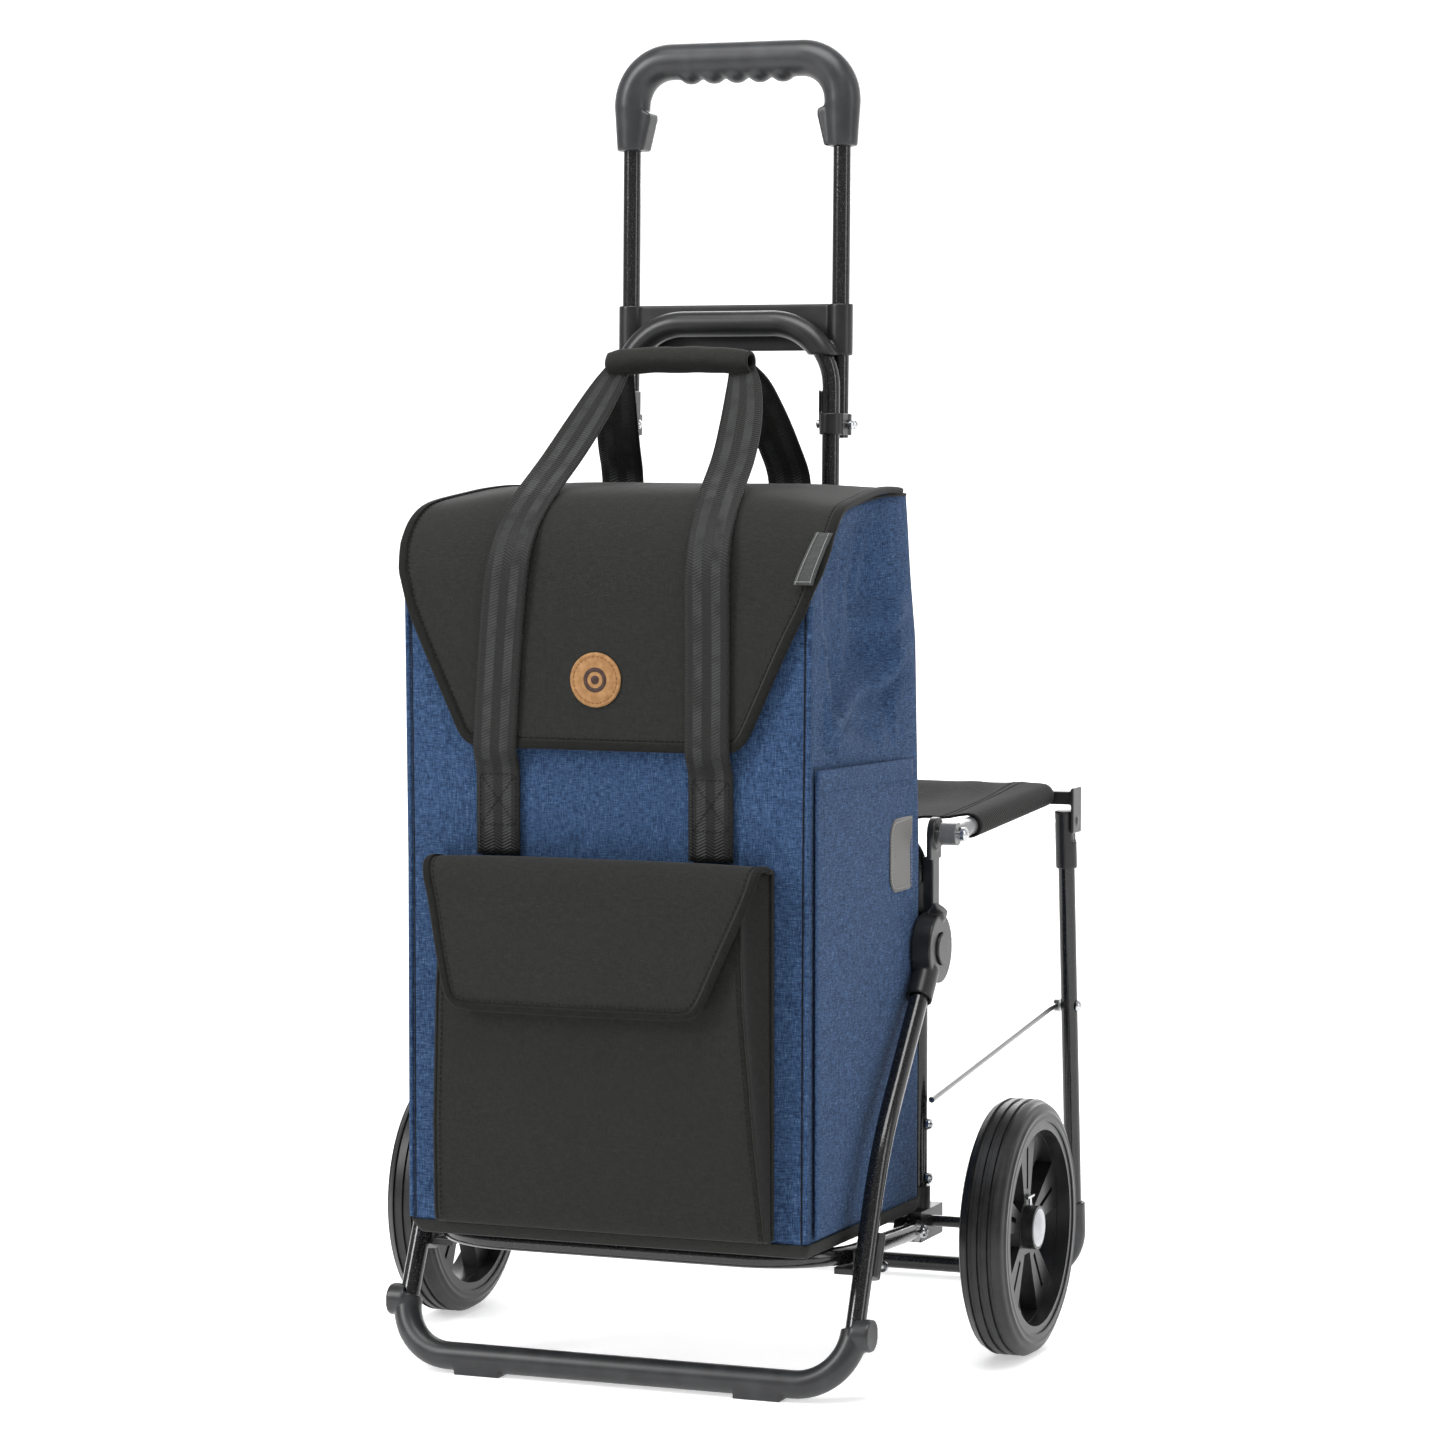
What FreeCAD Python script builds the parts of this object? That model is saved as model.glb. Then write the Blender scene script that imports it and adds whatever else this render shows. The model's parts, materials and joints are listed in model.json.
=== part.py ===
"""Folding shopping trolley with a fold-down seat: frame, wheels, handle, bag.

Millimetres, +X to the viewer's right, +Y backwards, +Z up. The origin is on the floor,
straight under the wheel axle and in the middle of the footprint.
"""
import FreeCAD, Part
import math
import os
import Sketcher
from FreeCAD import Placement, Rotation, Vector

doc = FreeCAD.newDocument("shopping_trolley")
NODES = []
SIDES = (("left", -1), ("right", 1))

# ---------------------------------------------------------------- driving dimensions
SIZES = {
    # wheels and axle
    "wheel_rad": 100, "wheel_wide": 38, "wheel_mid": 242.5, "rim_rad": 82.5, "hub_rad": 17,
    "axle_rad": 4.5, "axle_half": 257, "run_gap": 0.06, "fit_gap": 0.4,
    # frame tubes
    "tube_rad": 7, "tube_wall": 1.2, "arm_rad": 7.5, "lean_deg": 1.26,
    "side_half": 158.5, "side_back": 2.5, "side_top": 406, "mast_half": 88, "mast_foot": -24.7,
    "mast_low": 130, "mast_top": 806, "mast_bend": 50,
    # pull handle
    "pull_half": 89.4, "pull_foot": -8.7, "pull_low": 716, "pull_high": 1015,
    "bracket_low": 781, "bracket_top": 821.7, "grip_rad": 14.5, "grip_low": 944.7, "slider_low": 718,
    # foot loop and its hubs
    "hub_back": -18, "hub_up": 318, "hub_disc": 27, "hub_in": 168, "hub_out": 184,
    "arm_top_half": 176, "arm_knee_half": 182.5, "arm_half": 184, "foot_front": -230,
    "foot_up": 12.7, "bumper_rad": 10.7, "foot_bend": 42,
    # platform under the bag
    "deck_half": 165, "deck_pivot_back": -28, "deck_pivot_up": 96, "deck_long": 202.2,
    "deck_tilt_deg": 2.47, "deck_bend": 70,
    # seat
    "seat_half": 184, "seat_back": 3, "seat_up": 406, "seat_long": 259.4, "seat_tilt_deg": 3.1,
    "seat_bend": 24, "leg_half": 200, "leg_back": 254, "leg_up": 397, "leg_long": 388.3,
    "leg_lean_deg": 4.7, "leg_bend": 38, "sleeve_rad": 10,
    # bag
    "bag_low": 108, "bag_high": 664, "bag_front": -254, "bag_back": -31, "cloth": 3,
    "flap_low": 485, "pocket_half": 134, "pocket_high": 401, "strap_wide": 35, "strap_thick": 2.2,
}
sheet = doc.addObject("Spreadsheet::Sheet", "Sizes")
for row, (alias, value) in enumerate(SIZES.items(), start=1):
    sheet.set(f"A{row}", alias)
    sheet.set(f"B{row}", str(value))
    sheet.setAlias(f"B{row}", alias)
doc.recompute()


def size(alias):
    """A driving dimension, read back from the sheet."""
    return float(sheet.get(alias))


def bind(obj, **expressions):
    """Bind properties to expressions written with the sheet's aliases."""
    for prop, text in expressions.items():
        words = []
        for word in text.split():
            words.append("Sizes." + word if word in SIZES else word)
        obj.setExpression(prop, " ".join(words))


def node(obj, label):
    """Register an object as a sub-part to write out."""
    obj.Label = label
    NODES.append(obj)
    return obj


def feature(label, shape, place=None):
    """A sub-part whose shape is computed from the sheet's sizes."""
    obj = doc.addObject("Part::Feature", label)
    obj.Shape = shape
    if place is not None:
        obj.Placement = place
    return node(obj, label)


def at(x, y, z, axis=Vector(1, 0, 0), degrees=0):
    return Placement(Vector(x, y, z), Rotation(axis, degrees))


X_AXIS, Y_AXIS, Z_AXIS = Vector(1, 0, 0), Vector(0, 1, 0), Vector(0, 0, 1)
ALONG_X = Rotation(Vector(0, 1, 0), 90)


# ---------------------------------------------------------------- small shape helpers
def rod(start, end, radius):
    """A round bar between two points."""
    start, end = Vector(*start), Vector(*end)
    return Part.makeCylinder(radius, (end - start).Length, start, end - start)


def block(low, high):
    """A box from its lowest to its highest corner."""
    span = [top - base for base, top in zip(low, high)]
    return Part.makeBox(*span, Vector(*low))


def bent_wire(points, radii):
    """Straight runs through the points, joined by tangent arcs of the given radii."""
    points = [Vector(*point) for point in points]
    edges, start = [], points[0]
    for before, corner, after, radius in zip(points, points[1:], points[2:], radii):
        to_start = (before - corner).normalize()
        to_end = (after - corner).normalize()
        half_turn = (math.pi - to_start.getAngle(to_end)) / 2
        setback = radius * math.tan(half_turn)
        first, last = corner + to_start * setback, corner + to_end * setback
        bisector = (to_start + to_end).normalize()
        centre = corner + bisector * (radius / math.cos(half_turn))
        middle = centre - bisector * radius
        edges.append(Part.LineSegment(start, first).toShape())
        edges.append(Part.Arc(first, middle, last).toShape())
        start = last
    edges.append(Part.LineSegment(start, points[-1]).toShape())
    return Part.Wire(edges)


def pipe(wire, outer, inner=0.0):
    """A round tube or bar along a wire."""
    start = wire.Edges[0].valueAt(wire.Edges[0].FirstParameter)
    along = wire.Edges[0].tangentAt(wire.Edges[0].FirstParameter)

    def sweep(radius):
        ring = Part.Wire([Part.makeCircle(radius, start, along)])
        return wire.makePipeShell([ring], True, False)

    return sweep(outer).cut(sweep(inner)) if inner else sweep(outer)


def bolts(spots, radius, head):
    """Separate round-headed bolts: (head point, end point) pairs."""
    solids = []
    for start, end in spots:
        start, end = Vector(*start), Vector(*end)
        along = (end - start).normalize()
        dome = Part.makeSphere(head * 1.25, start + along * head * 0.75)
        dome = dome.common(Part.makeCylinder(head, head, start - along * head * 0.5, along))
        solids.append(dome.fuse(Part.makeCylinder(radius, (end - start).Length, start, along)))
    return Part.makeCompound(solids)


def mirrored(shape):
    """The same shape on the other side of the middle plane."""
    return shape.mirror(Vector(0, 0, 0), X_AXIS)


def both_sides(build):
    """Shapes for left and right from a function that builds the right-hand one."""
    right = build()
    return (("left", mirrored(right)), ("right", right))


def pair(build):
    """Left and right shapes as one group of separate solids."""
    return Part.makeCompound([shape for _, shape in both_sides(build)])


# ---------------------------------------------------------------- PartDesign helpers
def plane(body, role):
    return next(item for item in body.Origin.OriginFeatures if item.Role == role)


def sketch(body, role, name, lift=0.0):
    """An empty sketch on one of the body's own origin planes."""
    obj = body.newObject("Sketcher::SketchObject", name)
    obj.AttachmentSupport = (plane(body, role), "")
    obj.MapMode = "FlatFace"
    obj.AttachmentOffset = Placement(Vector(0, 0, lift), Rotation())
    return obj


def ring(obj, x, y, outer, inner=None):
    """Circles about (x, y) whose radii are bound to the sheet."""
    for text in filter(None, (outer, inner)):
        index = obj.addGeometry(Part.Circle(Vector(x, y, 0), Z_AXIS, 1))
        obj.addConstraint(Sketcher.Constraint("DistanceX", -1, 1, index, 3, x))
        obj.addConstraint(Sketcher.Constraint("DistanceY", -1, 1, index, 3, y))
        bound = obj.addConstraint(Sketcher.Constraint("Radius", index, 1))
        bind(obj, **{f"Constraints[{bound}]": text})


def outline(obj, points):
    """A closed outline of straight lines."""
    corners = [Vector(x, y, 0) for x, y in points]
    for start, end in zip(corners, corners[1:] + corners[:1]):
        obj.addGeometry(Part.LineSegment(start, end))


def u_tube(label, half, low, top, bend, radius, place):
    """A tube bent to an upside-down U in the body's own XZ plane."""
    body = doc.addObject("PartDesign::Body", label)
    path = sketch(body, "XZ_Plane", "Path")
    wire = bent_wire([(-half, low, 0), (-half, top, 0), (half, top, 0), (half, low, 0)],
                     (bend, bend))
    for edge in wire.Edges:
        first, last = edge.valueAt(edge.FirstParameter), edge.valueAt(edge.LastParameter)
        middle = edge.valueAt((edge.FirstParameter + edge.LastParameter) / 2)
        straight = edge.Curve.TypeId == "Part::GeomLine"
        path.addGeometry(Part.LineSegment(first, last) if straight
                         else Part.Arc(first, middle, last))
    profile = sketch(body, "XY_Plane", "Section", low)
    ring(profile, -half, 0, radius, f"{radius} - tube_wall")
    doc.recompute()
    tube = body.newObject("PartDesign::AdditivePipe", "Tube")
    tube.Profile = profile
    tube.Spine = (path, [f"Edge{i + 1}" for i in range(len(wire.Edges))])
    body.Placement = place
    return node(body, label)


# ---------------------------------------------------------------- frame at the back
side_half, side_back = size("side_half"), size("side_back")
lean = math.radians(size("lean_deg"))
pull_place = at(0, size("pull_foot"), 0, X_AXIS, -size("lean_deg"))
mast_place = at(0, size("mast_foot"), 0, X_AXIS, -size("lean_deg"))

u_tube("side_frame_tube", side_half, size("deck_pivot_up") + 10, size("side_top"), 32,
       "tube_rad", at(0, side_back, 0))
u_tube("mast_tube", size("mast_half"), size("mast_low"), size("mast_top"), size("mast_bend"),
       "tube_rad", mast_place)


def cross_brace():
    """Flat steel strap that ties the feet of the mast to the side tubes."""
    body = doc.addObject("PartDesign::Body", "cross_brace")
    face = sketch(body, "XZ_Plane", "Strap")
    low, high = size("mast_low") + 6, size("mast_low") + 30
    reach = side_half - size("tube_rad") - 0.2
    outline(face, [(-reach, low), (reach, low), (reach, high), (-reach, high)])
    pad = body.newObject("PartDesign::Pad", "Thickness")
    pad.Profile = face
    pad.Length = 3
    body.Placement = at(0, -10.4, 0)
    return node(body, "cross_brace")


def axle_rod():
    """The steel axle, right across the trolley."""
    bar = doc.addObject("Part::Cylinder", "axle")
    bind(bar, Radius="axle_rad", Height="axle_half * 2")
    bar.Placement = Placement(Vector(-size("axle_half"), 0, size("wheel_rad")), ALONG_X)
    return node(bar, "axle")


def axle_block():
    """Moulded foot of a side tube: holds the tube, the axle and the platform's pivot."""
    low, top = size("deck_pivot_up") - 11, size("deck_pivot_up") + 13
    body = block((152, -18, low), (168, 34, top))
    body = body.fuse(rod((152, size("deck_pivot_back"), size("deck_pivot_up")),
                         (157.6, size("deck_pivot_back"), size("deck_pivot_up")), 11))
    body = body.fuse(block((152, size("deck_pivot_back"), low), (157.6, -17, top - 2)))
    body = body.fuse(rod((side_half, side_back, top - 1), (side_half, side_back, top + 18), 9.6))
    body = body.cut(rod((side_half, side_back, size("deck_pivot_up") + 10),
                        (side_half, side_back, top + 23), size("tube_rad")))
    body = body.cut(rod((150, size("deck_pivot_back"), size("deck_pivot_up")),
                        (160, size("deck_pivot_back"), size("deck_pivot_up")), 2.9))
    return body.cut(rod((150, 0, size("wheel_rad")), (170, 0, size("wheel_rad")),
                        size("axle_rad")))


def deck_rivet():
    """Chrome rivet through the platform's rail end and the axle block."""
    return bolts([((174.5, size("deck_pivot_back"), size("deck_pivot_up")),
                   (153, size("deck_pivot_back"), size("deck_pivot_up")))], 2.9, 5)


def hub_bracket():
    """Clamp on the side tube that carries the foot loop's hub."""
    hub = Vector(0, size("hub_back"), size("hub_up"))
    collar = rod((side_half, side_back, hub.z - 17), (side_half, side_back, hub.z + 17), 9.3)
    boss = rod((152.5, hub.y, hub.z), (size("hub_in") - 0.4, hub.y, hub.z), 11.5)
    web = block((152.5, hub.y, hub.z - 10), (165, side_back, hub.z + 10))
    pin = rod((size("hub_in") - 1, hub.y, hub.z), (size("hub_in") + 9, hub.y, hub.z), 7)
    tube = rod((side_half, side_back, hub.z - 18), (side_half, side_back, hub.z + 18),
               size("tube_rad"))
    return collar.fuse([boss, web, pin]).cut(tube)


def seat_hinge():
    """Moulded cap on the corner of the side frame that the seat turns on."""
    back, up = size("seat_back"), size("seat_up")
    shell = rod((168.5, back, up), (174.8, back, up), 13)
    shell = shell.fuse(block((168.5, back - 13, up - 20), (172.5, back + 13, up)))
    shell = shell.fuse(rod((side_half, side_back, up - 62), (side_half, side_back, up - 38), 9.4))
    shell = shell.fuse(block((164, back - 8, up - 62), (172.5, back + 8, up - 18)))
    tube = rod((side_half, side_back, up - 64), (side_half, side_back, up - 36), size("tube_rad"))
    clear = rod((side_half, side_back, up - 40), (side_half, side_back, up - 17), 7.5)
    return shell.cut(tube).cut(clear).cut(rod((160, back, up), (180, back, up), 3))


def seat_pin():
    """Bolt that the seat turns on."""
    back, up = size("seat_back"), size("seat_up")
    return bolts([((196.4, back, up), (166, back, up))], 3, 5.5)


def frame_bolt():
    """Two round-headed bolts low on the side tube."""
    spots = [((side_half + 9.6, side_back, up), (side_half + 7.05, side_back, up))
             for up in (133, 176)]
    return bolts(spots, 2.6, 4.6)


cross_brace()
axle_rod()
feature("axle_blocks", pair(axle_block))
feature("platform_rivets", pair(deck_rivet))
feature("hub_brackets", pair(hub_bracket))
feature("seat_hinges", pair(seat_hinge))
feature("seat_pivot_bolts", pair(seat_pin))
feature("frame_bolts", pair(frame_bolt))


def mast_bracket():
    """Moulded guide on top of the mast; the pull tubes slide through its two collars."""
    low, top = size("bracket_low"), size("bracket_top")
    gap = size("pull_foot") - size("mast_foot")
    shell = block((-97, gap - 4, low + 4), (97, gap + 3, top))
    for half in (-size("pull_half"), size("pull_half")):
        shell = shell.fuse(rod((half, gap, low), (half, gap, top), 9.8))
    half, high = size("mast_half"), size("mast_top")
    foot = high - size("mast_bend") - 2
    arch = bent_wire([(-half, 0, foot), (-half, 0, high), (half, 0, high), (half, 0, foot)],
                     [size("mast_bend")] * 2)
    shell = shell.fuse(pipe(arch, 10.2).common(block((-110, -20, low), (110, 20, top))))
    bore = pipe(arch, size("tube_rad"))
    for half in (-size("pull_half"), size("pull_half")):
        bore = bore.fuse(rod((half, gap, low - 1), (half, gap, top + 1),
                             size("tube_rad") + size("run_gap")))
    return shell.cut(bore)


feature("mast_bracket", mast_bracket(), mast_place)


# ---------------------------------------------------------------- wheels
def tyre(label, middle):
    """Ribbed tyre, turned about the axle."""
    body = doc.addObject("PartDesign::Body", label)
    face = sketch(body, "XY_Plane", "Profile")
    half, out, inside = size("wheel_wide") / 2, size("wheel_rad"), size("rim_rad")
    points = [(-half, inside), (-half, out - 10), (-half + 3, out - 3.4), (-half + 7, out - 1)]
    for groove in (-8, 0, 8):
        points += [(groove - 2, out), (groove - 1.2, out - 1.6), (groove + 1.2, out - 1.6),
                   (groove + 2, out)]
    points += [(half - 7, out - 1), (half - 3, out - 3.4), (half, out - 10), (half, inside)]
    outline(face, points)
    turn = body.newObject("PartDesign::Revolution", "Turn")
    turn.Profile = face
    turn.ReferenceAxis = (face, ["H_Axis"])
    turn.Angle = 360
    body.Placement = at(middle, 0, size("wheel_rad"))
    return node(body, label)


def rim(outward):
    """Five-window rim with split spokes and a hub, about the X axis."""
    half, out, hub = size("wheel_wide") / 2, size("rim_rad"), size("hub_rad")
    shell = rod((-half + 1, 0, 0), (half - 1, 0, 0), out)
    shell = shell.cut(rod((-half, 0, 0), (half, 0, 0), out - 6))
    web = rod((-7, 0, 0), (7, 0, 0), out - 5).cut(rod((-8, 0, 0), (8, 0, 0), hub - 2))
    for index in range(5):
        middle = 90 + 72 * index
        sector = window_prism(22, out - 7, 21)
        slit = block((-9, -2.0, 30), (9, 2.0, out - 16))
        for shape, angle in ((sector, middle + 36), (slit, middle)):
            turned = shape.copy()
            turned.rotate(Vector(0, 0, 0), X_AXIS, angle - 90)
            web = web.cut(turned)
    core = rod((-21, 0, 0), (half - 2.5, 0, 0), hub)
    shape = shell.fuse([web, core])
    shape = shape.cut(rod((-30, 0, 0), (30, 0, 0), size("axle_rad") + size("run_gap")))
    shape = shape.cut(rod((half - 6, 0, 0), (half + 1, 0, 0), 14.9))
    if outward < 0:
        shape = mirrored(shape)
    return shape


def window_prism(inner, outer, half_degrees):
    """A wedge-shaped cutter, centred on +Z, between two radii."""
    spread = math.radians(half_degrees)
    near = 0.30
    corners = [(-inner * math.sin(near), inner * math.cos(near)),
               (-outer * math.sin(spread), outer * math.cos(spread)),
               (0, outer), (outer * math.sin(spread), outer * math.cos(spread)),
               (inner * math.sin(near), inner * math.cos(near))]
    points = [Vector(-9, y, z) for y, z in corners]
    rim_arc = Part.Arc(points[1], points[2], points[3]).toShape()
    edges = [Part.makeLine(points[0], points[1]), rim_arc,
             Part.makeLine(points[3], points[4]), Part.makeLine(points[4], points[0])]
    return Part.Face(Part.Wire(edges)).extrude(Vector(18, 0, 0))


def hub_cap(outward):
    """Pale domed cap pressed into the hub."""
    half = size("wheel_wide") / 2
    dome = Part.makeSphere(30, Vector(half - 28.6, 0, 0))
    dome = dome.common(rod((half - 3.2, 0, 0), (half + 3, 0, 0), 14.8))
    cap = dome.fuse(rod((half - 3.4, 0, 0), (half - 2, 0, 0), 14.8))
    return mirrored(cap) if outward < 0 else cap


def hub_clip(outward):
    """Sprung wire clip beside the hub that keeps the wheel on the axle."""
    level = size("wheel_wide") / 2 - 9.6
    clip = rod((level, 0, 17.4), (level, 0, 24), 1.2)
    clip = clip.fuse(rod((level, -8, 24), (level, 8, 24), 1.2))
    return mirrored(clip) if outward < 0 else clip


for side, sign in SIDES:
    wheel_mid = sign * size("wheel_mid")
    wheel_place = at(wheel_mid, 0, size("wheel_rad"))
    tyre(f"tyre_{side}", wheel_mid)
    feature(f"rim_{side}", rim(sign), wheel_place)
    feature(f"hub_cap_{side}", hub_cap(sign), wheel_place)
    feature(f"wheel_clip_{side}", hub_clip(sign), wheel_place)


# ---------------------------------------------------------------- pull handle
def pull_tubes():
    """Two straight tubes, each a ring pushed up to its length."""
    for side, sign in SIDES:
        body = doc.addObject("PartDesign::Body", f"pull_tube_{side}")
        face = sketch(body, "XY_Plane", "Ring", size("pull_low"))
        ring(face, sign * size("pull_half"), 0, "tube_rad", "tube_rad - tube_wall")
        pad = body.newObject("PartDesign::Pad", "Length")
        pad.Profile = face
        bind(pad, Length="pull_high - pull_low - 12")
        body.Placement = pull_place
        node(body, f"pull_tube_{side}")


def grip():
    """Moulded handle with finger ridges and flared sleeves over the tube ends."""
    half, low, rad = size("pull_half"), size("grip_low"), size("grip_rad")
    mid_up = size("pull_high")
    wire = bent_wire([(-half, 0, low + 34), (-half, 0, mid_up), (half, 0, mid_up),
                      (half, 0, low + 34)], [34, 34])
    shape = pipe(wire, rad)
    for sign in (-1, 1):
        sleeve = Part.makeCone(12.2, rad, 36, Vector(sign * half, 0, low))
        shape = shape.fuse(sleeve)
        flare = [(half, low), (half - 12.4, low), (half - 18.5, low + 25), (half - 18, low + 30),
                 (half, low + 34)]
        corners = [Vector(sign * x, -9.5, z) for x, z in flare]
        face = Part.Face(Part.makePolygon(corners + corners[:1]))
        shape = shape.fuse(face.extrude(Vector(0, 19, 0)))
    for index in range(5):
        ridge = Part.makeSphere(11, Vector((index - 2) * 19.5, 0, mid_up - 7.5))
        shape = shape.fuse(ridge)
    for sign in (-1, 1):
        shape = shape.cut(rod((sign * half, 0, low - 1), (sign * half, 0, mid_up - 12),
                              size("tube_rad")))
    return shape


def slider(sign):
    """Moulded slider: clamped to a pull tube, running on the mast tube, with an up-stop."""
    low = size("slider_low")
    gap = size("mast_foot") - size("pull_foot")
    pull, mast = sign * size("pull_half"), sign * size("mast_half")
    shape = rod((pull, 0, low), (pull, 0, low + 17), 9.6)
    shape = shape.fuse(rod((mast, gap, low), (mast, gap, low + 17), 9.2))
    shape = shape.fuse(block((min(pull, mast) - 8.6, gap, low), (max(pull, mast) + 8.6, 0, low + 17)))
    inner = sorted((mast - sign * 9.2, mast - sign * 7.6))
    tongue = block((inner[0], gap - 4, low + 10), (inner[1], gap + 12, size("bracket_low") - 28))
    shape = shape.fuse(tongue)
    shape = shape.cut(rod((pull, 0, low - 1), (pull, 0, low + 20), size("tube_rad")))
    fasteners = slider_bolts() if sign > 0 else mirrored(slider_bolts())
    shape = shape.cut(fasteners)
    return shape.cut(rod((mast, gap, low - 1), (mast, gap, low + 20),
                         size("tube_rad") + size("run_gap")))


def slider_bolts():
    """Zinc bolts through the sliders."""
    gap = size("mast_foot") - size("pull_foot")
    spots = []
    for back in (-3.6, 3.6):
        spots.append(((size("pull_half") + 12.2, back, size("slider_low") + 8.5),
                      (size("pull_half") + 7.2, back, size("slider_low") + 8.5)))
    inner = size("mast_half") - 12
    spots.append(((inner, gap + 3, size("slider_low") + 8.5),
                  (inner + 4.6, gap + 3, size("slider_low") + 8.5)))
    return bolts(spots, 2.2, 3.6)


pull_tubes()
feature("pull_grip", grip(), pull_place)
for side, sign in SIDES:
    feature(f"slider_{side}", slider(sign), pull_place)
feature("slider_bolts", pair(slider_bolts), pull_place)


# ---------------------------------------------------------------- foot loop
def loop_points():
    """Corners of the foot loop from the right-hand hub round to the left-hand one."""
    right = [(size("arm_top_half"), size("hub_back") - 12, size("hub_up") - 15),
             (size("arm_knee_half"), -155, 180),
             (size("arm_half"), size("foot_front"), size("foot_up"))]
    return right + [(-x, y, z) for x, y, z in reversed(right)]


loop_wire = bent_wire(loop_points(), (230, size("foot_bend"), size("foot_bend"), 230))


def foot_bumper():
    """Plastic sleeve on the front bar and corners, with end stubs and two flat pads."""
    bar_up, front = size("foot_up"), size("foot_front")
    hub_side = Vector(*loop_points()[1]) - Vector(*loop_points()[2])
    top = Vector(*loop_points()[2]) + hub_side.normalize() * 44
    points = [tuple(top), loop_points()[2], loop_points()[3], (-top.x, top.y, top.z)]
    shape = pipe(bent_wire(points, [size("foot_bend")] * 2), size("bumper_rad"),
                 size("arm_rad"))
    for sign in (-1, 1):
        stub = rod((sign * 184, top.y - 1, top.z - 3), (sign * 198, top.y - 1, top.z - 3), 12.3)
        stub = stub.cut(pipe(loop_wire, size("arm_rad")))
        shape = shape.fuse(stub)
        pad = block((sign * 115 - 19, front - 9, 0), (sign * 115 + 19, front + 9, bar_up))
        shape = shape.fuse(pad.cut(rod((-140, front, bar_up), (140, front, bar_up), 7.5)))
    return shape


def arm_hub():
    """Hub on the top of an arm: a thick disc with a socket for the tube and a thumb cap."""
    hub = Vector(0, size("hub_back"), size("hub_up"))
    inner, outer = size("hub_in"), size("hub_out")
    disc = rod((inner, hub.y, hub.z), (outer, hub.y, hub.z), size("hub_disc"))
    disc = disc.fuse(rod((inner + 1, hub.y + 4, hub.z + 14), (inner + 15, hub.y + 4, hub.z + 31), 7.5)
                     .common(block((inner, hub.y - 20, hub.z), (outer + 2, hub.y + 30, hub.z + 40))))
    knee, top = Vector(*loop_points()[1]), Vector(*loop_points()[0])
    along = (knee - top).normalize()
    socket = rod(tuple(top), tuple(top + along * 30), 10.4)
    disc = disc.fuse(socket)
    disc = disc.cut(rod((inner - 1, hub.y, hub.z), (inner + 9.4, hub.y, hub.z),
                        7 + size("run_gap")))
    disc = disc.cut(rod(tuple(top), tuple(knee), size("arm_rad")))
    return disc.cut(rod((outer - 5, hub.y, hub.z), (outer + 1, hub.y, hub.z), 12.3))


def hub_button():
    """Round release button in the middle of the hub."""
    hub = Vector(0, size("hub_back"), size("hub_up"))
    outer = size("hub_out")
    button = rod((outer - 1.4, hub.y, hub.z), (outer + 2.2, hub.y, hub.z), 12)
    return button.makeFillet(1.2, [button.Edges[0]])


def platform_clamp():
    """Clamp on the arm with a hook that the platform's rail rests in."""
    back, up = -178.7, 103.4
    low, knee = Vector(*loop_points()[2]), Vector(*loop_points()[1])
    along = (knee - low).normalize()
    middle = Vector(182.9, back, up)
    shape = rod(tuple(middle - along * 17), tuple(middle + along * 17), 10.2)
    deck_up = 102.4
    hook = block((158, back - 10, deck_up - 13), (180, back + 10, deck_up - 7.6))
    hook = hook.fuse(block((173, back - 10, deck_up - 13), (180, back + 10, deck_up + 6)))
    shape = shape.fuse(hook)
    return shape.cut(pipe(loop_wire, size("arm_rad"))).cut(clamp_bolt())


def clamp_bolt():
    """Bolt on the back of the clamp."""
    return bolts([((188, -160.5, 92), (186, -170.5, 95))], 2.4, 4.2)


feature("foot_loop_tube", pipe(loop_wire, size("arm_rad"), size("arm_rad") - size("tube_wall")))
feature("foot_bumper", foot_bumper())
for side, shape in both_sides(arm_hub):
    feature(f"arm_hub_{side}", shape)
for side, shape in both_sides(hub_button):
    feature(f"hub_button_{side}", shape)
for side, shape in both_sides(platform_clamp):
    feature(f"platform_clamp_{side}", shape)
feature("clamp_bolts", pair(clamp_bolt))

# ---------------------------------------------------------------- platform
deck_place = at(0, size("deck_pivot_back"), size("deck_pivot_up"), X_AXIS,
                90 - size("deck_tilt_deg"))
u_tube("platform_tube", size("deck_half"), 9.2, size("deck_long"), size("deck_bend"),
       "tube_rad", deck_place)


def rail_eye():
    """Flattened eye on the end of a platform rail."""
    half = size("deck_half")
    eye = rod((half - 4, 0, 0), (half + 4, 0, 0), 9)
    eye = eye.fuse(block((half - 4, -6.9, 0), (half + 4, 6.9, 9.2)))
    return eye.cut(rod((half - 5, 0, 0), (half + 5, 0, 0), 2.9 + size("run_gap")))


feature("platform_eyes", pair(rail_eye), deck_place)

# ---------------------------------------------------------------- seat
seat_place = at(0, size("seat_back"), size("seat_up"), X_AXIS, size("seat_tilt_deg") - 90)
u_tube("seat_tube", size("seat_half"), 14, size("seat_long"), size("seat_bend"), "tube_rad",
       seat_place)


def seat_eye():
    """Flattened end of a seat rail with the hole for its pivot bolt."""
    half = size("seat_half")
    eye = rod((half - 6.5, 0, 0), (half + 6.5, 0, 0), 9)
    eye = eye.fuse(rod((half, 0, 4), (half, 0, 26), 8.6))
    eye = eye.cut(rod((half, 0, 14), (half, 0, 27), size("tube_rad")))
    return eye.cut(rod((half - 8, 0, 0), (half + 8, 0, 0), 3 + size("run_gap")))


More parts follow.
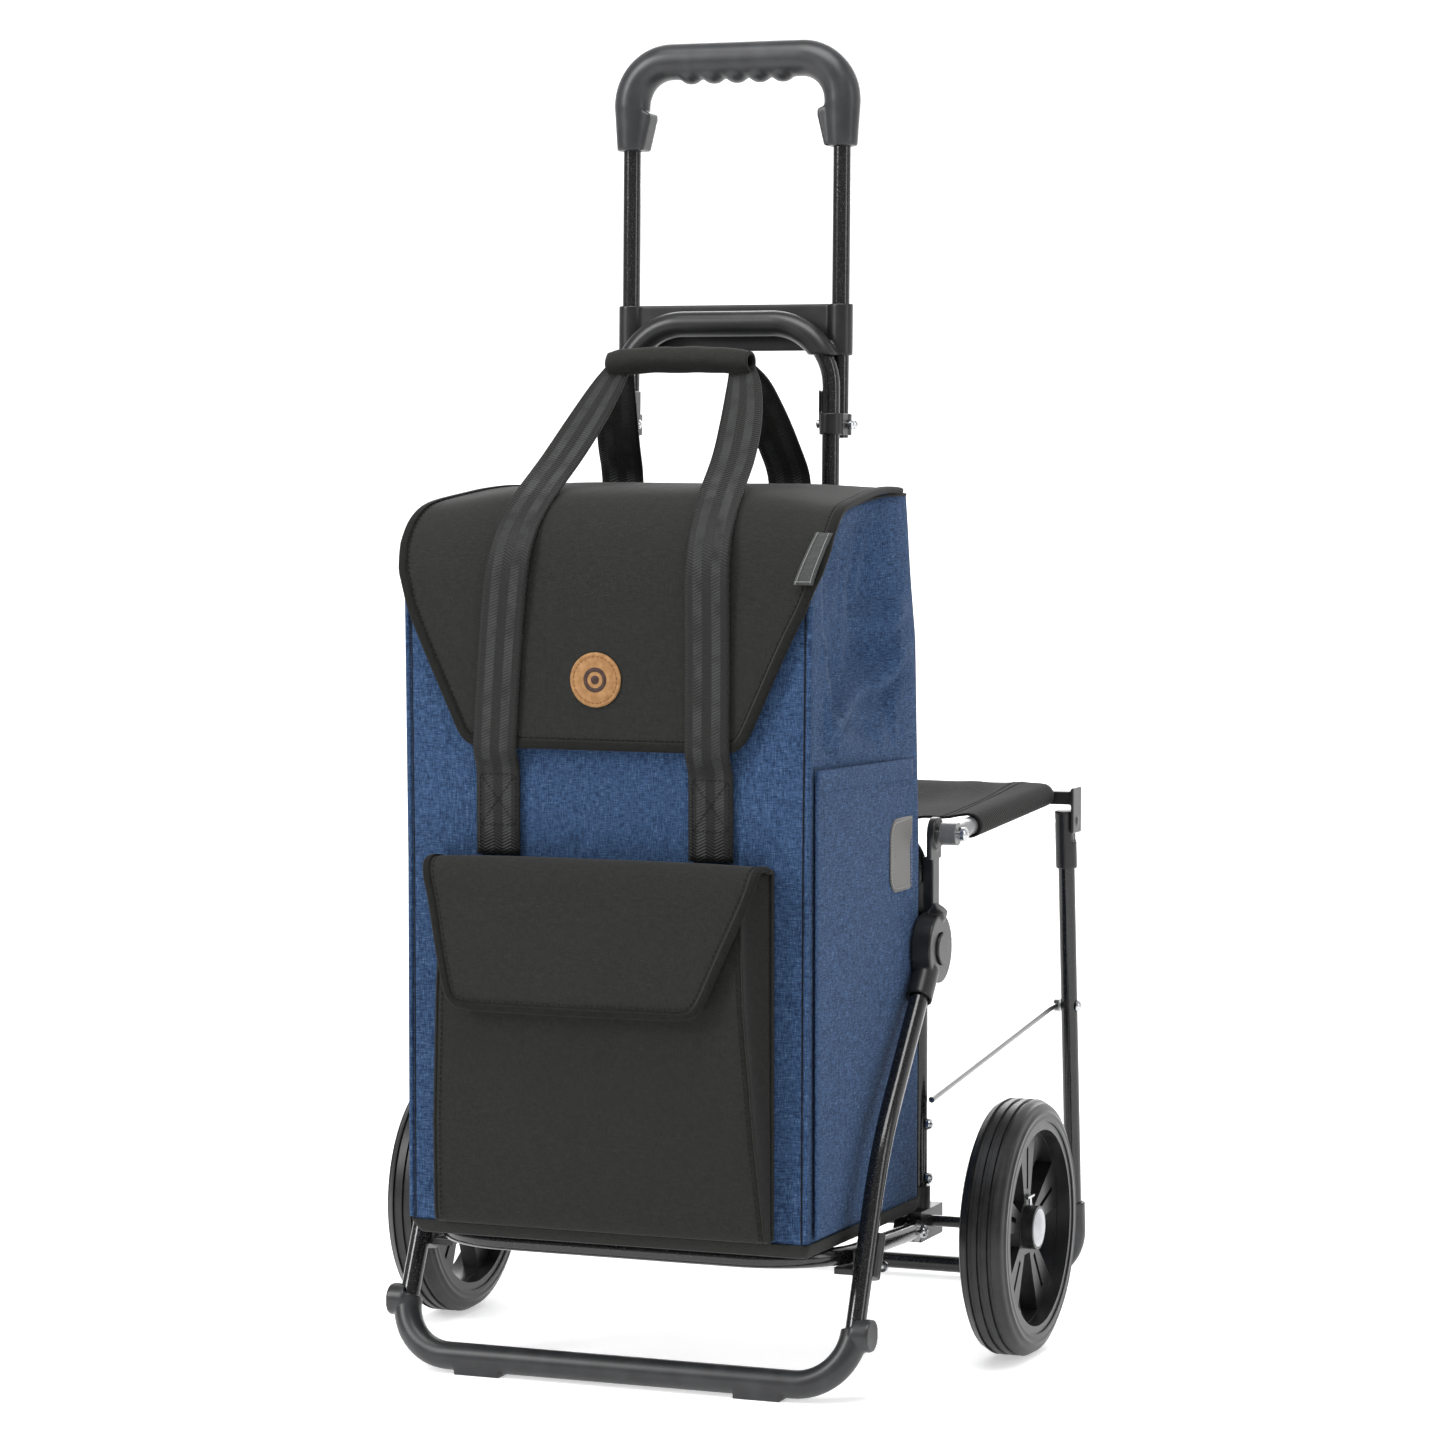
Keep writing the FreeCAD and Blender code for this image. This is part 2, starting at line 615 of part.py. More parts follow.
def corner_bracket():
    """Bracket that joins a rear corner of the seat to a leg."""
    back, up = size("leg_back"), size("leg_up")
    seat_up = size("seat_up") + 14
    plate = block((207.6, back - 11, up - 10), (210, back + 13, seat_up + 5))
    lug = block((186, back - 10, seat_up - 9), (208, back + 13, seat_up + 2))
    half, long = size("seat_half"), size("seat_long")
    bar = pipe(bent_wire([(0, 0, long), (half, 0, long), (half, 0, 100)], [size("seat_bend")]),
               size("tube_rad"))
    bar.Placement = seat_place
    pin = rod((195, back, up), (211, back, up), 3)
    return plate.fuse([lug.cut(bar), pin])


def seat_sling():
    """Cloth stretched between the rails: two tunnels and the sagging web between them."""
    half, front, back = size("seat_half"), 46, size("seat_long") - size("seat_bend") - 1
    tube, cloth, sag = size("tube_rad"), 2.4, 13
    web_top = Part.Arc(Vector(-half, 9.2, front), Vector(0, 9.2 - sag, front),
                       Vector(half, 9.2, front)).toShape()
    web_low = Part.Arc(Vector(half, 9.2 - cloth, front), Vector(0, 9.2 - sag - cloth, front),
                       Vector(-half, 9.2 - cloth, front)).toShape()
    ends = [Part.makeLine(Vector(half, 9.2, front), Vector(half, 9.2 - cloth, front)),
            Part.makeLine(Vector(-half, 9.2 - cloth, front), Vector(-half, 9.2, front))]
    web = Part.Face(Part.Wire([web_top, ends[0], web_low, ends[1]]))
    web = web.extrude(Vector(0, 0, back - front))
    for sign in (-1, 1):
        tunnel = rod((sign * half, 0, front), (sign * half, 0, back), 9.4)
        web = web.fuse(tunnel)
    for sign in (-1, 1):
        web = web.cut(rod((sign * half, 0, front - 1), (sign * half, 0, back + 1), tube + 0.2))
    web.rotate(Vector(0, 0, 0), Z_AXIS, 180)
    return web


feature("seat_eyes", pair(seat_eye), seat_place)
for side, shape in both_sides(corner_bracket):
    feature(f"seat_corner_bracket_{side}", shape)
feature("seat_sling", seat_sling(), seat_place)


# ---------------------------------------------------------------- seat leg and link rods
leg_place = at(0, size("leg_back"), size("leg_up"), X_AXIS, 180 + size("leg_lean_deg"))
u_tube("seat_leg_tube", size("leg_half"), 12, size("leg_long"), size("leg_bend"), "tube_rad",
       leg_place)
LINK_DOWN = 157.5


def leg_cap():
    """Moulded top of a leg with the hole for the corner bracket's pin."""
    half = size("leg_half")
    cap = rod((half, 0, -8.5), (half, 0, 40), 9)
    cheeks = block((half - 9, -10, -9), (half + 6.9, 10, 18))
    cheeks = cheeks.fuse(block((half - 9, -10, 17), (half + 9, 10, 41)))
    cap = cap.common(cheeks)
    cap = cap.cut(rod((half, 0, 12), (half, 0, 41), size("tube_rad")))
    return cap.cut(rod((half - 12, 0, 0), (half + 12, 0, 0), 3 + size("run_gap")))


def leg_bumper():
    """Plastic sleeve over a bottom corner of the leg frame."""
    half, long = size("leg_half"), size("leg_long")
    path = [(half, 0, long - 62), (half, 0, long), (half - 58, 0, long)]
    return pipe(bent_wire(path, [size("leg_bend")]), size("sleeve_rad"), size("tube_rad"))


def leg_bolt():
    """Pin that carries the link rod, with its domed head outside the leg."""
    half = size("leg_half")
    head = Part.makeSphere(5.4, Vector(half + 5.6, 0, LINK_DOWN))
    head = head.common(rod((half + 7.05, 0, LINK_DOWN), (half + 12, 0, LINK_DOWN), 5))
    pin = rod((half - 13.5, 0, LINK_DOWN), (half - 7.05, 0, LINK_DOWN), 2.2)
    return Part.makeCompound([head, pin])


def link_rod():
    """Chrome rod from the leg down to the side tube, flattened to an eye at the leg."""
    pivot = leg_place.multVec(Vector(0, 0, LINK_DOWN))
    top = Vector(189.6, pivot.y - 7, pivot.z)
    points = [tuple(top), (188.8, pivot.y - 20, pivot.z - 1), (168.6, 4, 195)]
    rod_shape = pipe(bent_wire(points, [20]), 2.5)
    eye = rod((187.6, pivot.y, pivot.z), (191.8, pivot.y, pivot.z), 5.2)
    neck = block((187.8, pivot.y - 9, pivot.z - 2.4), (191.6, pivot.y, pivot.z + 2.4))
    eye = eye.fuse(neck).cut(rod((186, pivot.y, pivot.z), (193, pivot.y, pivot.z),
                                 2.2 + size("run_gap")))
    return rod_shape.fuse(eye)


feature("leg_caps", pair(leg_cap), leg_place)
feature("leg_bumpers", pair(leg_bumper), leg_place)
feature("leg_bolts", pair(leg_bolt), leg_place)
for side, shape in both_sides(link_rod):
    feature(f"link_rod_{side}", shape)


# ---------------------------------------------------------------- bag
def level(up, front, back, half_front, half_back, rise=0):
    """One outline of the bag at a height; its front edge stands higher by rise."""
    points = [Vector(-half_front, front, up + rise), Vector(half_front, front, up + rise),
              Vector(half_back, back, up), Vector(-half_back, back, up)]
    return Part.makePolygon(points + points[:1])


def bag_shape(inset, low, high):
    """The bag's tapered outline; inset leaves room for the cloth."""
    front, back = size("bag_front"), size("bag_back")
    levels = [level(low, front - 2 + inset, back - inset, 161 - inset, 163 - inset, 5.2),
              level(400, front + inset, back - inset, 161 - inset, 163 - inset),
              level(612, front + inset, back - inset, 163 - inset, 160 - inset),
              level(high, front + 50 + inset, back - inset, 166 - inset, 157 - inset)]
    return Part.makeLoft(levels, True, True)


def extrude_side(points, half):
    """Extrude a (y, z) outline to both sides of the middle plane."""
    corners = [Vector(-half, y, z) for y, z in points]
    return Part.Face(Part.makePolygon(corners + corners[:1])).extrude(Vector(2 * half, 0, 0))


def trim_sides(shape, points, front, back):
    """Keep what lies inside a symmetric (x, z) outline given for the right side."""
    corners = [(x, z) for x, z in points] + [(-x, z) for x, z in reversed(points)]
    corners = [Vector(x, front, z) for x, z in corners]
    keep = Part.Face(Part.makePolygon(corners + corners[:1])).extrude(Vector(0, back - front, 0))
    return shape.common(keep)


def bag_flap():
    """Stiff cloth lid: over the top of the bag and down its front."""
    low, front, back = size("flap_low"), size("bag_front"), size("bag_back")
    outer = [(back - 1, 674), (-200, 671), (-232, 662), (-251, 645), (front - 7, 618),
             (front - 8, low)]
    inner = [(front - 4, low), (front - 3, 618), (-247.6, 642.4), (-230, 658.4), (-199.5, 667),
             (back - 1, 670)]
    shape = extrude_side(outer + inner, 180)
    edge = [(98, low), (109, low + 3), (116, low + 12), (163, 590), (170, 615), (176, 645),
            (174, 662), (168, 674), (168, 690)]
    return trim_sides(shape, edge, -300, 0)


def flap_label():
    """Woven tab lying on the front slope of the lid, along its right edge."""
    slope = [(-243.2, 652), (-251, 645), (-261, 618), (-261.1, 609)]
    normals = [(-0.667, 0.745), (-0.85, 0.58), (-1, 0.18), (-1, 0)]
    layers = []
    for lift in (0.3, 1.4):
        layers.append([(y + lift * dy, z + lift * dz) for (y, z), (dy, dz) in zip(slope, normals)])
    shape = extrude_side(layers[0] + layers[1][::-1], 180)
    corners = [Vector(x, -300, z) for x, z in ((153, 609), (168, 609), (175.5, 652), (162, 652))]
    keep = Part.Face(Part.makePolygon(corners + corners[:1])).extrude(Vector(0, 100, 0))
    return shape.common(keep)


def front_pocket():
    """Flat pocket on the front, open at the top."""
    front, half, high = size("bag_front"), size("pocket_half"), size("pocket_high")
    outline_out = [(front - 1.3, high), (front - 30, high), (front - 36, 290), (front - 26, 113),
                   (front - 2.5, 113)]
    outline_in = [(front - 4, high + 1), (front - 27, high + 1), (front - 33, 290),
                  (front - 23.5, 117), (front - 5.2, 117)]
    shape = extrude_side(outline_out, half)
    return shape.cut(extrude_side(outline_in, half - 3))


def pocket_flap():
    """Lid of the front pocket, hinged along its top edge."""
    front, high = size("bag_front"), size("pocket_high")
    shape = extrude_side([(front - 2.5, high + 4), (front - 34, high + 4), (front - 42, 290),
                          (front - 38.5, 290), (front - 31.4, high + 0.8),
                          (front - 2.5, high + 0.8)], 136)
    edge = [(92, 290), (103, 293), (109, 302), (133, 395), (136, 420)]
    return trim_sides(shape, edge, -330, 0)


def side_pocket():
    """Flat pocket on the side of the bag."""
    outlines = []
    for up in (116, 468):
        corners = [(162.2, -242), (164, -242), (165.2, -36), (163.4, -36)]
        points = [Vector(x, y, up) for x, y in corners]
        outlines.append(Part.makePolygon(points + points[:1]))
    return Part.makeLoft(outlines, True, True)


def ribbon(points, width, thick):
    """Flat webbing along points, its width kept as near to the X axis as it can be."""
    points = [Vector(*point) for point in points]
    sections = []
    for index, point in enumerate(points):
        ahead = points[min(index + 1, len(points) - 1)]
        behind = points[max(index - 1, 0)]
        along = (ahead - behind).normalize()
        across = (X_AXIS - along * X_AXIS.dot(along)).normalize() * (width / 2)
        normal = along.cross(across).normalize() * (thick / 2)
        corners = [point - across - normal, point + across - normal,
                   point + across + normal, point - across + normal]
        sections.append(Part.makePolygon(corners + corners[:1]))
    return Part.makeLoft(sections, True, True)


FRONT_STRAPS = ([(86, -256.9, 406), (86, -256.9, 466), (86, -264.4, 481), (86.4, -264.6, 560),
                 (86, -264.4, 620), (84, -254.6, 648), (80, -237, 667), (68, -150, 717),
                 (50, -114, 762)],
                [(-86, -256.9, 406), (-86, -256.9, 466), (-85.4, -264.4, 481),
                 (-80, -264.6, 560), (-75, -264.4, 620), (-72.4, -254.6, 648), (-70, -237, 667),
                 (-65, -150, 717), (-50, -114, 762)])
REAR_STRAPS = ([(62, -29.6, 590), (62, -29.6, 672), (62, -34, 684), (58, -66, 728),
                (50, -98, 762)],
               [(-80, -29.6, 590), (-80, -29.6, 672), (-79.6, -34, 684), (-70, -66, 728),
                (-52, -98, 762)])


def straps(lines):
    """The two ends of one carry strap."""
    return Part.makeCompound([ribbon(line, size("strap_wide"), size("strap_thick"))
                              for line in lines])


def hanger_loop():
    """Webbing loop on the bag's back that goes round a mast tube."""
    middle = size("mast_foot") + 560 * math.tan(lean)
    half, back = size("mast_half"), size("bag_back") + 0.4
    band = block((half - 9, middle - 9, 548), (half + 9, middle + 9, 573))
    band = band.fuse(block((half - 16, back, 548), (half + 16, back + 2, 573)))
    band = band.fuse(block((half - 9, back, 548), (half + 9, middle, 573)))
    tube = rod((half, size("mast_foot") + 500 * math.tan(lean), 500),
               (half, size("mast_foot") + 620 * math.tan(lean), 620), size("tube_rad") + 0.3)
    return band.cut(tube)


feature("bag_body", bag_shape(0, size("bag_low"), size("bag_high"))
        .cut(bag_shape(size("cloth"), size("bag_low") + size("cloth"), size("bag_high") + 3)))


def panel(label, kind_sizes, place):
    """A flat rectangular piece bound to the sheet."""
    piece = doc.addObject("Part::Box", label)
    bind(piece, **kind_sizes)
    piece.Placement = place
    return node(piece, label)


panel("bag_floor_board", {"Length": "300", "Width": "200", "Height": "cloth"},
      at(-150, -242, size("bag_low") + size("cloth") + 5.2, X_AXIS, -1.32))
feature("top_flap", bag_flap())
feature("front_pocket", front_pocket())
feature("pocket_flap", pocket_flap())
feature("side_pockets", pair(side_pocket))
feature("front_carry_strap", straps(FRONT_STRAPS))
feature("rear_carry_strap", straps(REAR_STRAPS))
wrap = doc.addObject("Part::Cylinder", "handle_wrap")
wrap.Radius = 11
wrap.Height = 118
wrap.Placement = Placement(Vector(-59, -106, 775.5), ALONG_X)
node(wrap, "handle_wrap")
patch = doc.addObject("Part::Cylinder", "leather_patch")
patch.Radius = 20.5
patch.Height = 1.6
patch.Placement = at(-4, size("bag_front") - 8.1, 536.6, X_AXIS, 90)
node(patch, "leather_patch")
feature("flap_label", flap_label())
feature("bag_hangers", pair(hanger_loop))


def reflector_patch():
    """Grey reflective patch sewn over the back edge of a side pocket."""
    return block((165.5, -92, 366), (166.3, -40, 424))


feature("reflector_patches", pair(reflector_patch))

# ---------------------------------------------------------------- check and write
doc.recompute()
for obj in doc.Objects:
    if "Invalid" in obj.State or "Error" in obj.State:
        raise RuntimeError(f"{obj.Name} failed: {obj.State}")
os.makedirs("parts", exist_ok=True)
for obj in NODES:
    if obj.Shape.isNull() or not obj.Shape.isValid():
        raise RuntimeError(f"{obj.Label} has no valid shape")
    obj.Shape.exportStep(f"parts/{obj.Label}.step")
print(len(NODES), "sub-parts written")
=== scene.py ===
"""Looks of the folding shopping trolley: cloth, webbing, leather, paint and mouldings.

Metres in the CAD frame: +X to the viewer's right, +Y backwards, +Z up.
"""
import json
import math

import bmesh
import bpy
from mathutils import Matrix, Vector, noise


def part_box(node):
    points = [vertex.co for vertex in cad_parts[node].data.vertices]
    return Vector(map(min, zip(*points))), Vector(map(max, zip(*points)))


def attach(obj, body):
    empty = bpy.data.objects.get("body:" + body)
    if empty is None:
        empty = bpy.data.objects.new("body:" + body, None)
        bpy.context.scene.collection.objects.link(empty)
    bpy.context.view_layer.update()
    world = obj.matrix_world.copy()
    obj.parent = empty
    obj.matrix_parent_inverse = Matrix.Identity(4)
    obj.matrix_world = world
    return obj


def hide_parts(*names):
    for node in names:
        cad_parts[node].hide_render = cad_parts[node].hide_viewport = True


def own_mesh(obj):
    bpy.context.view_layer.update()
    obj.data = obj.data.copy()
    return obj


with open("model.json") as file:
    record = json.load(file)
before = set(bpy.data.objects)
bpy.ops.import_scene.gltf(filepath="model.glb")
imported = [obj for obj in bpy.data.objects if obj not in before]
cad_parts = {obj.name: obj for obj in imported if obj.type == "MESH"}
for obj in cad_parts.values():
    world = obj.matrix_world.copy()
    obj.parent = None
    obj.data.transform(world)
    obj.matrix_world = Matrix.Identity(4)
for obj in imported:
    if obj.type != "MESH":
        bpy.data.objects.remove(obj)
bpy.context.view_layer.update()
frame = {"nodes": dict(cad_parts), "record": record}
NODES = frame["nodes"]
BODIES = frame["record"]["behaviour"]["bodies"]
SLOTS = {part["node"]: part["material_slot"] for part in frame["record"]["subparts"]}
MM = 0.001
SIDES = ((1, "right"), (-1, "left"))
FORWARD, BACKWARD = Vector((0, -1, 0)), Vector((0, 1, 0))
WHEEL_RADIUS = 0.1
TREAD_PITCH = 5.2 * MM
SETTLE_FRAMES = 20


# ---- materials
class Surface:
    """A material: one principled shader with procedural colour and relief."""

    def __init__(self, name, roughness, shine=0.5, **sockets):
        self.data = bpy.data.materials.new(name)
        self.data.use_nodes = True
        self.tree = self.data.node_tree
        self.shader = self.tree.nodes["Principled BSDF"]
        self.shader.inputs["Roughness"].default_value = roughness
        self.shader.inputs["Specular IOR Level"].default_value = shine
        for socket, value in sockets.items():
            self.shader.inputs[socket.replace("_", " ")].default_value = value
        self.place = self.add("ShaderNodeTexCoord").outputs["Object"]
        self.normal = None

    def add(self, kind, **settings):
        node = self.tree.nodes.new(kind)
        for key, value in settings.items():
            setattr(node, key, value)
        return node

    def feed(self, socket, value):
        """Link an output to a socket, or set a plain number on it."""
        if isinstance(value, bpy.types.NodeSocket):
            self.tree.links.new(value, socket)
        else:
            socket.default_value = value

    def math(self, operation, first, second=0.0):
        node = self.add("ShaderNodeMath", operation=operation)
        self.feed(node.inputs[0], first)
        self.feed(node.inputs[1], second)
        return node.outputs[0]

    def noise(self, scale, detail=2.0):
        """Noise with its own number of cycles per metre along each axis."""
        mapping = self.add("ShaderNodeMapping")
        mapping.inputs["Scale"].default_value = scale
        texture = self.add("ShaderNodeTexNoise")
        texture.inputs["Scale"].default_value = 1.0
        texture.inputs["Detail"].default_value = detail
        self.feed(mapping.inputs["Vector"], self.place)
        self.feed(texture.inputs["Vector"], mapping.outputs["Vector"])
        return texture.outputs[0]

    def wave(self, scale, direction="DIAGONAL"):
        texture = self.add("ShaderNodeTexWave", bands_direction=direction)
        texture.inputs["Scale"].default_value = scale
        texture.inputs["Distortion"].default_value = 0.0
        self.feed(texture.inputs["Vector"], self.place)
        return texture.outputs["Fac"]

    def step(self, value, low, high):
        """0 below low, 1 above high, and smooth between."""
        node = self.add("ShaderNodeMapRange", interpolation_type="SMOOTHSTEP")
        self.feed(node.inputs["Value"], value)
        node.inputs["From Min"].default_value = low
        node.inputs["From Max"].default_value = high
        return node.outputs["Result"]

    def mix(self, factor, first, second):
        node = self.add("ShaderNodeMix", data_type="RGBA")
        self.feed(node.inputs[0], factor)
        for socket, colour in ((node.inputs[6], first), (node.inputs[7], second)):
            if isinstance(colour, tuple):
                colour = colour + (1.0,)
            self.feed(socket, colour)
        return node.outputs[2]

    def colour(self, value):
        self.feed(self.shader.inputs["Base Color"], value)

    def relief(self, height, strength, depth):
        """Add a bump; several add up."""
        node = self.add("ShaderNodeBump")
        node.inputs["Strength"].default_value = strength
        node.inputs["Distance"].default_value = depth
        self.feed(node.inputs["Height"], height)
        if self.normal is not None:
            self.feed(node.inputs["Normal"], self.normal)
        self.normal = node.outputs["Normal"]
        self.feed(self.shader.inputs["Normal"], self.normal)


def even(cycles):
    return (cycles, cycles, cycles)


def powder_coat(name, dark, light, roughness):
    """Glossy paint with fine sparkle and a slight orange peel."""
    surface = Surface(name, roughness, 0.4, Coat_Weight=0.25, Coat_Roughness=0.12)
    speck = surface.step(surface.noise(even(1500), 1.0), 0.60, 0.70)
    surface.colour(surface.mix(speck, dark, light))
    surface.relief(surface.noise(even(520), 1.0), 0.22, 0.35 * MM)
    return surface.data


def plastic(name, dark, light, roughness, grain=0.16):
    """Moulded plastic: slightly uneven tone and a fine spark-eroded grain."""
    surface = Surface(name, roughness, 0.42)
    surface.colour(surface.mix(surface.step(surface.noise(even(55), 3.0), 0.35, 0.7), dark, light))
    surface.relief(surface.noise(even(2600), 1.0), grain, 0.12 * MM)
    return surface.data


def metal(name, dark, light, roughness, cycles):
    """Bright metal with faint drawn streaks."""
    surface = Surface(name, roughness, Metallic=1.0)
    surface.colour(surface.mix(surface.noise(cycles, 2.0), dark, light))
    surface.relief(surface.noise(cycles, 2.0), 0.08, 0.1 * MM)
    return surface.data


def slubs(surface):
    """Uneven threads, upright and level ones together."""
    upright = surface.noise((1300, 1300, 190), 2.5)
    level = surface.noise((190, 190, 1300), 2.5)
    return surface.math("MULTIPLY", surface.math("ADD", upright, level), 0.5)


def heathered_cloth(name, dark, middle, light):
    """Plain weave of uneven two-tone yarn."""
    surface = Surface(name, 0.88, 0.1, Sheen_Weight=0.04, Sheen_Roughness=0.5)
    both = slubs(surface)
    tone = surface.mix(surface.step(both, 0.38, 0.54), dark, middle)
    tone = surface.mix(surface.step(both, 0.54, 0.68), tone, light)
    surface.colour(tone)
    surface.relief(both, 0.55, 0.5 * MM)
    surface.relief(surface.noise(even(28), 2.0), 0.10, 2.5 * MM)
    return surface.data


def twill(name, dark, light, depth=0.3, cycles=290):
    """Fine diagonal weave with a faint cloudiness."""
    surface = Surface(name, 0.84, 0.1, Sheen_Weight=0.06, Sheen_Roughness=0.45)
    both = slubs(surface)
    surface.colour(surface.mix(surface.step(both, 0.25, 0.80), dark, light))
    surface.relief(surface.wave(cycles), 0.3, depth * MM)
    surface.relief(both, 0.16, depth * MM)
    return surface.data


def webbing(name, dark, light):
    """Woven band: bands of ribs across its width that lean left and right in turn, with two of the bands
    painted lighter as a painted sheen.
    """
    surface = Surface(name, 0.55, 0.25, Sheen_Weight=0.06, Sheen_Roughness=0.4)
    uv = surface.add("ShaderNodeUVMap").outputs["UV"]
    parts = surface.add("ShaderNodeSeparateXYZ")
    surface.feed(parts.inputs["Vector"], uv)
    across, along = parts.outputs["X"], parts.outputs["Y"]
    centred = surface.math("ABSOLUTE", surface.math("SUBTRACT", across, 0.5))
    inner = surface.step(centred, 0.10, 0.125)
    outer = surface.step(centred, 0.30, 0.325)
    rib_band_and_sheen = surface.math("SUBTRACT", inner, outer)
    ramp = surface.math("PINGPONG", surface.math("MULTIPLY", across, 5.0), 1.0)
    slant = surface.math("ADD", surface.math("MULTIPLY", along, 2600), surface.math("MULTIPLY", ramp, 9.0))
    ribs = surface.math("SINE", slant)
    # painted sheen: the raised bands take the lighter colour, standing in for the light they catch
    tone = surface.mix(rib_band_and_sheen, dark, light)
    worn = surface.step(surface.noise((60, 60, 60), 2.0), 0.35, 0.75)
    surface.colour(surface.mix(worn, tone, dark))
    surface.relief(ribs, 0.5, 0.35 * MM)
    surface.relief(rib_band_and_sheen, 0.3, 0.3 * MM)
    return surface.data


def hide(name, dark, light):
    """Vegetable-tanned leather with pores."""
    surface = Surface(name, 0.6, 0.25)
    pores = surface.add("ShaderNodeTexVoronoi")
    pores.inputs["Scale"].default_value = 900.0
    surface.feed(pores.inputs["Vector"], surface.place)
    cloud = surface.noise(even(240), 4.0)
    surface.colour(surface.mix(surface.step(cloud, 0.3, 0.75), dark, light))
    surface.relief(pores.outputs["Distance"], 0.35, 0.25 * MM)
    return surface.data


def rubber(name):
    """Tyre rubber with moulded rings round the wheel's own axis."""
    surface = Surface(name, 0.40, 0.42)
    parts = surface.add("ShaderNodeSeparateXYZ")
    surface.feed(parts.inputs["Vector"], surface.place)
    up = surface.math("SUBTRACT", parts.outputs["Z"], WHEEL_RADIUS)
    squared = surface.math("ADD", surface.math("MULTIPLY", parts.outputs["Y"], parts.outputs["Y"]),
                           surface.math("MULTIPLY", up, up))
    reach = surface.math("SQRT", squared)
    rings = surface.math("SINE", surface.math("MULTIPLY", reach, 2 * math.pi / TREAD_PITCH))
    surface.colour(surface.mix(surface.step(surface.noise(even(90), 3.0), 0.3, 0.7),
                               (0.005, 0.005, 0.005), (0.012, 0.012, 0.012)))
    surface.relief(rings, 0.35, 0.6 * MM)
    surface.relief(surface.noise(even(1800), 1.0), 0.12, 0.12 * MM)
    return surface.data


def glass_bead_cloth(name):
    """Grey reflective cloth: a fine even grid in a soft shine."""
    surface = Surface(name, 0.5, 0.3, Sheen_Weight=0.1)
    grid_lines = surface.math("MULTIPLY", surface.wave(210, "Z"), surface.wave(210, "Y"))
    surface.colour(surface.mix(grid_lines, (0.082, 0.079, 0.074), (0.122, 0.117, 0.109)))
    surface.relief(grid_lines, 0.3, 0.15 * MM)
    return surface.data


MATERIALS = {}
for make, name, *look in (
        (powder_coat, "black_paint", (0.006, 0.006, 0.0065), (0.06, 0.06, 0.062), 0.17),
        (powder_coat, "grey_paint", (0.115, 0.117, 0.12), (0.18, 0.183, 0.187), 0.34),
        (metal, "zinc", (0.42, 0.43, 0.45), (0.66, 0.67, 0.68), 0.24, even(700)),
        (metal, "chrome_rod", (0.22, 0.22, 0.225), (0.36, 0.36, 0.365), 0.28, even(400)),
        (plastic, "black_plastic", (0.009, 0.009, 0.0093), (0.016, 0.016, 0.0165), 0.34),
        (plastic, "grip_plastic", (0.020, 0.0205, 0.022), (0.030, 0.031, 0.033), 0.36),
        (rubber, "tyre"),
        (plastic, "rim_plastic", (0.009, 0.009, 0.009), (0.017, 0.017, 0.0175), 0.34),
        (plastic, "cap_plastic", (0.42, 0.43, 0.45), (0.52, 0.53, 0.55), 0.28, 0.06),
        (heathered_cloth, "blue_cloth", (0.013, 0.027, 0.064), (0.032, 0.066, 0.140),
         (0.078, 0.135, 0.240)),
        (twill, "black_cloth", (0.0140, 0.0145, 0.0134), (0.0255, 0.0262, 0.0243)),
        # the webbing's lighter colour is the painted sheen on its raised bands
        (webbing, "webbing", (0.0055, 0.0060, 0.0053), (0.021, 0.0225, 0.0215)),
        (twill, "sling_cloth", (0.006, 0.0058, 0.0055), (0.019, 0.018, 0.017), 0.8, 150),
        (hide, "leather", (0.25, 0.125, 0.045), (0.35, 0.190, 0.078)),
        (twill, "label_cloth", (0.045, 0.047, 0.047), (0.075, 0.078, 0.078), 0.25, 520),
        (glass_bead_cloth, "reflector"),
        (plastic, "board", (0.03, 0.03, 0.03), (0.05, 0.05, 0.05), 0.6)):
    MATERIALS[name] = make(name, *look)
BLUE, BLACK = MATERIALS["blue_cloth"], MATERIALS["black_cloth"]
TAPE = twill("black_tape", (0.007, 0.007, 0.0065), (0.015, 0.015, 0.0142), 0.3, 420)
THREAD = twill("black_thread", (0.006, 0.006, 0.006), (0.014, 0.014, 0.014), 0.2, 700)
PALE_THREAD = twill("pale_thread", (0.30, 0.30, 0.29), (0.42, 0.42, 0.40), 0.2, 700)
BROWN_THREAD = twill("brown_thread", (0.20, 0.085, 0.03), (0.30, 0.14, 0.05), 0.2, 700)
PRINT = hide("brown_print", (0.035, 0.018, 0.014), (0.06, 0.032, 0.024))
FLOOR = plastic("floor", (0.86, 0.86, 0.86), (0.90, 0.90, 0.90), 0.75, 0.02)
glow = FLOOR.node_tree.nodes["Principled BSDF"]
glow.inputs["Emission Color"].default_value = (1, 1, 1, 1)
glow.inputs["Emission Strength"].default_value = 0.48

for name, obj in NODES.items():
    obj.data.materials.clear()
    obj.data.materials.append(MATERIALS[SLOTS[name]])


# ---- mesh helpers
def link(name, data):
    """An object with this data, in the scene."""
    made = bpy.data.objects.new(name, data)
    bpy.context.scene.collection.objects.link(made)
    return made


def link_mesh(name, points, faces, material, uvs=None):
    """A smooth-shaded mesh object from points and faces; uvs are given per point."""
    mesh = bpy.data.meshes.new(name)
    mesh.from_pydata([tuple(point) for point in points], [], faces)
    if uvs is not None:
        layer = mesh.uv_layers.new(name="UVMap")
        for loop in mesh.loops:
            layer.data[loop.index].uv = uvs[loop.vertex_index]
    for polygon in mesh.polygons:
        polygon.use_smooth = True
    mesh.materials.append(material)
    return link(name, mesh)


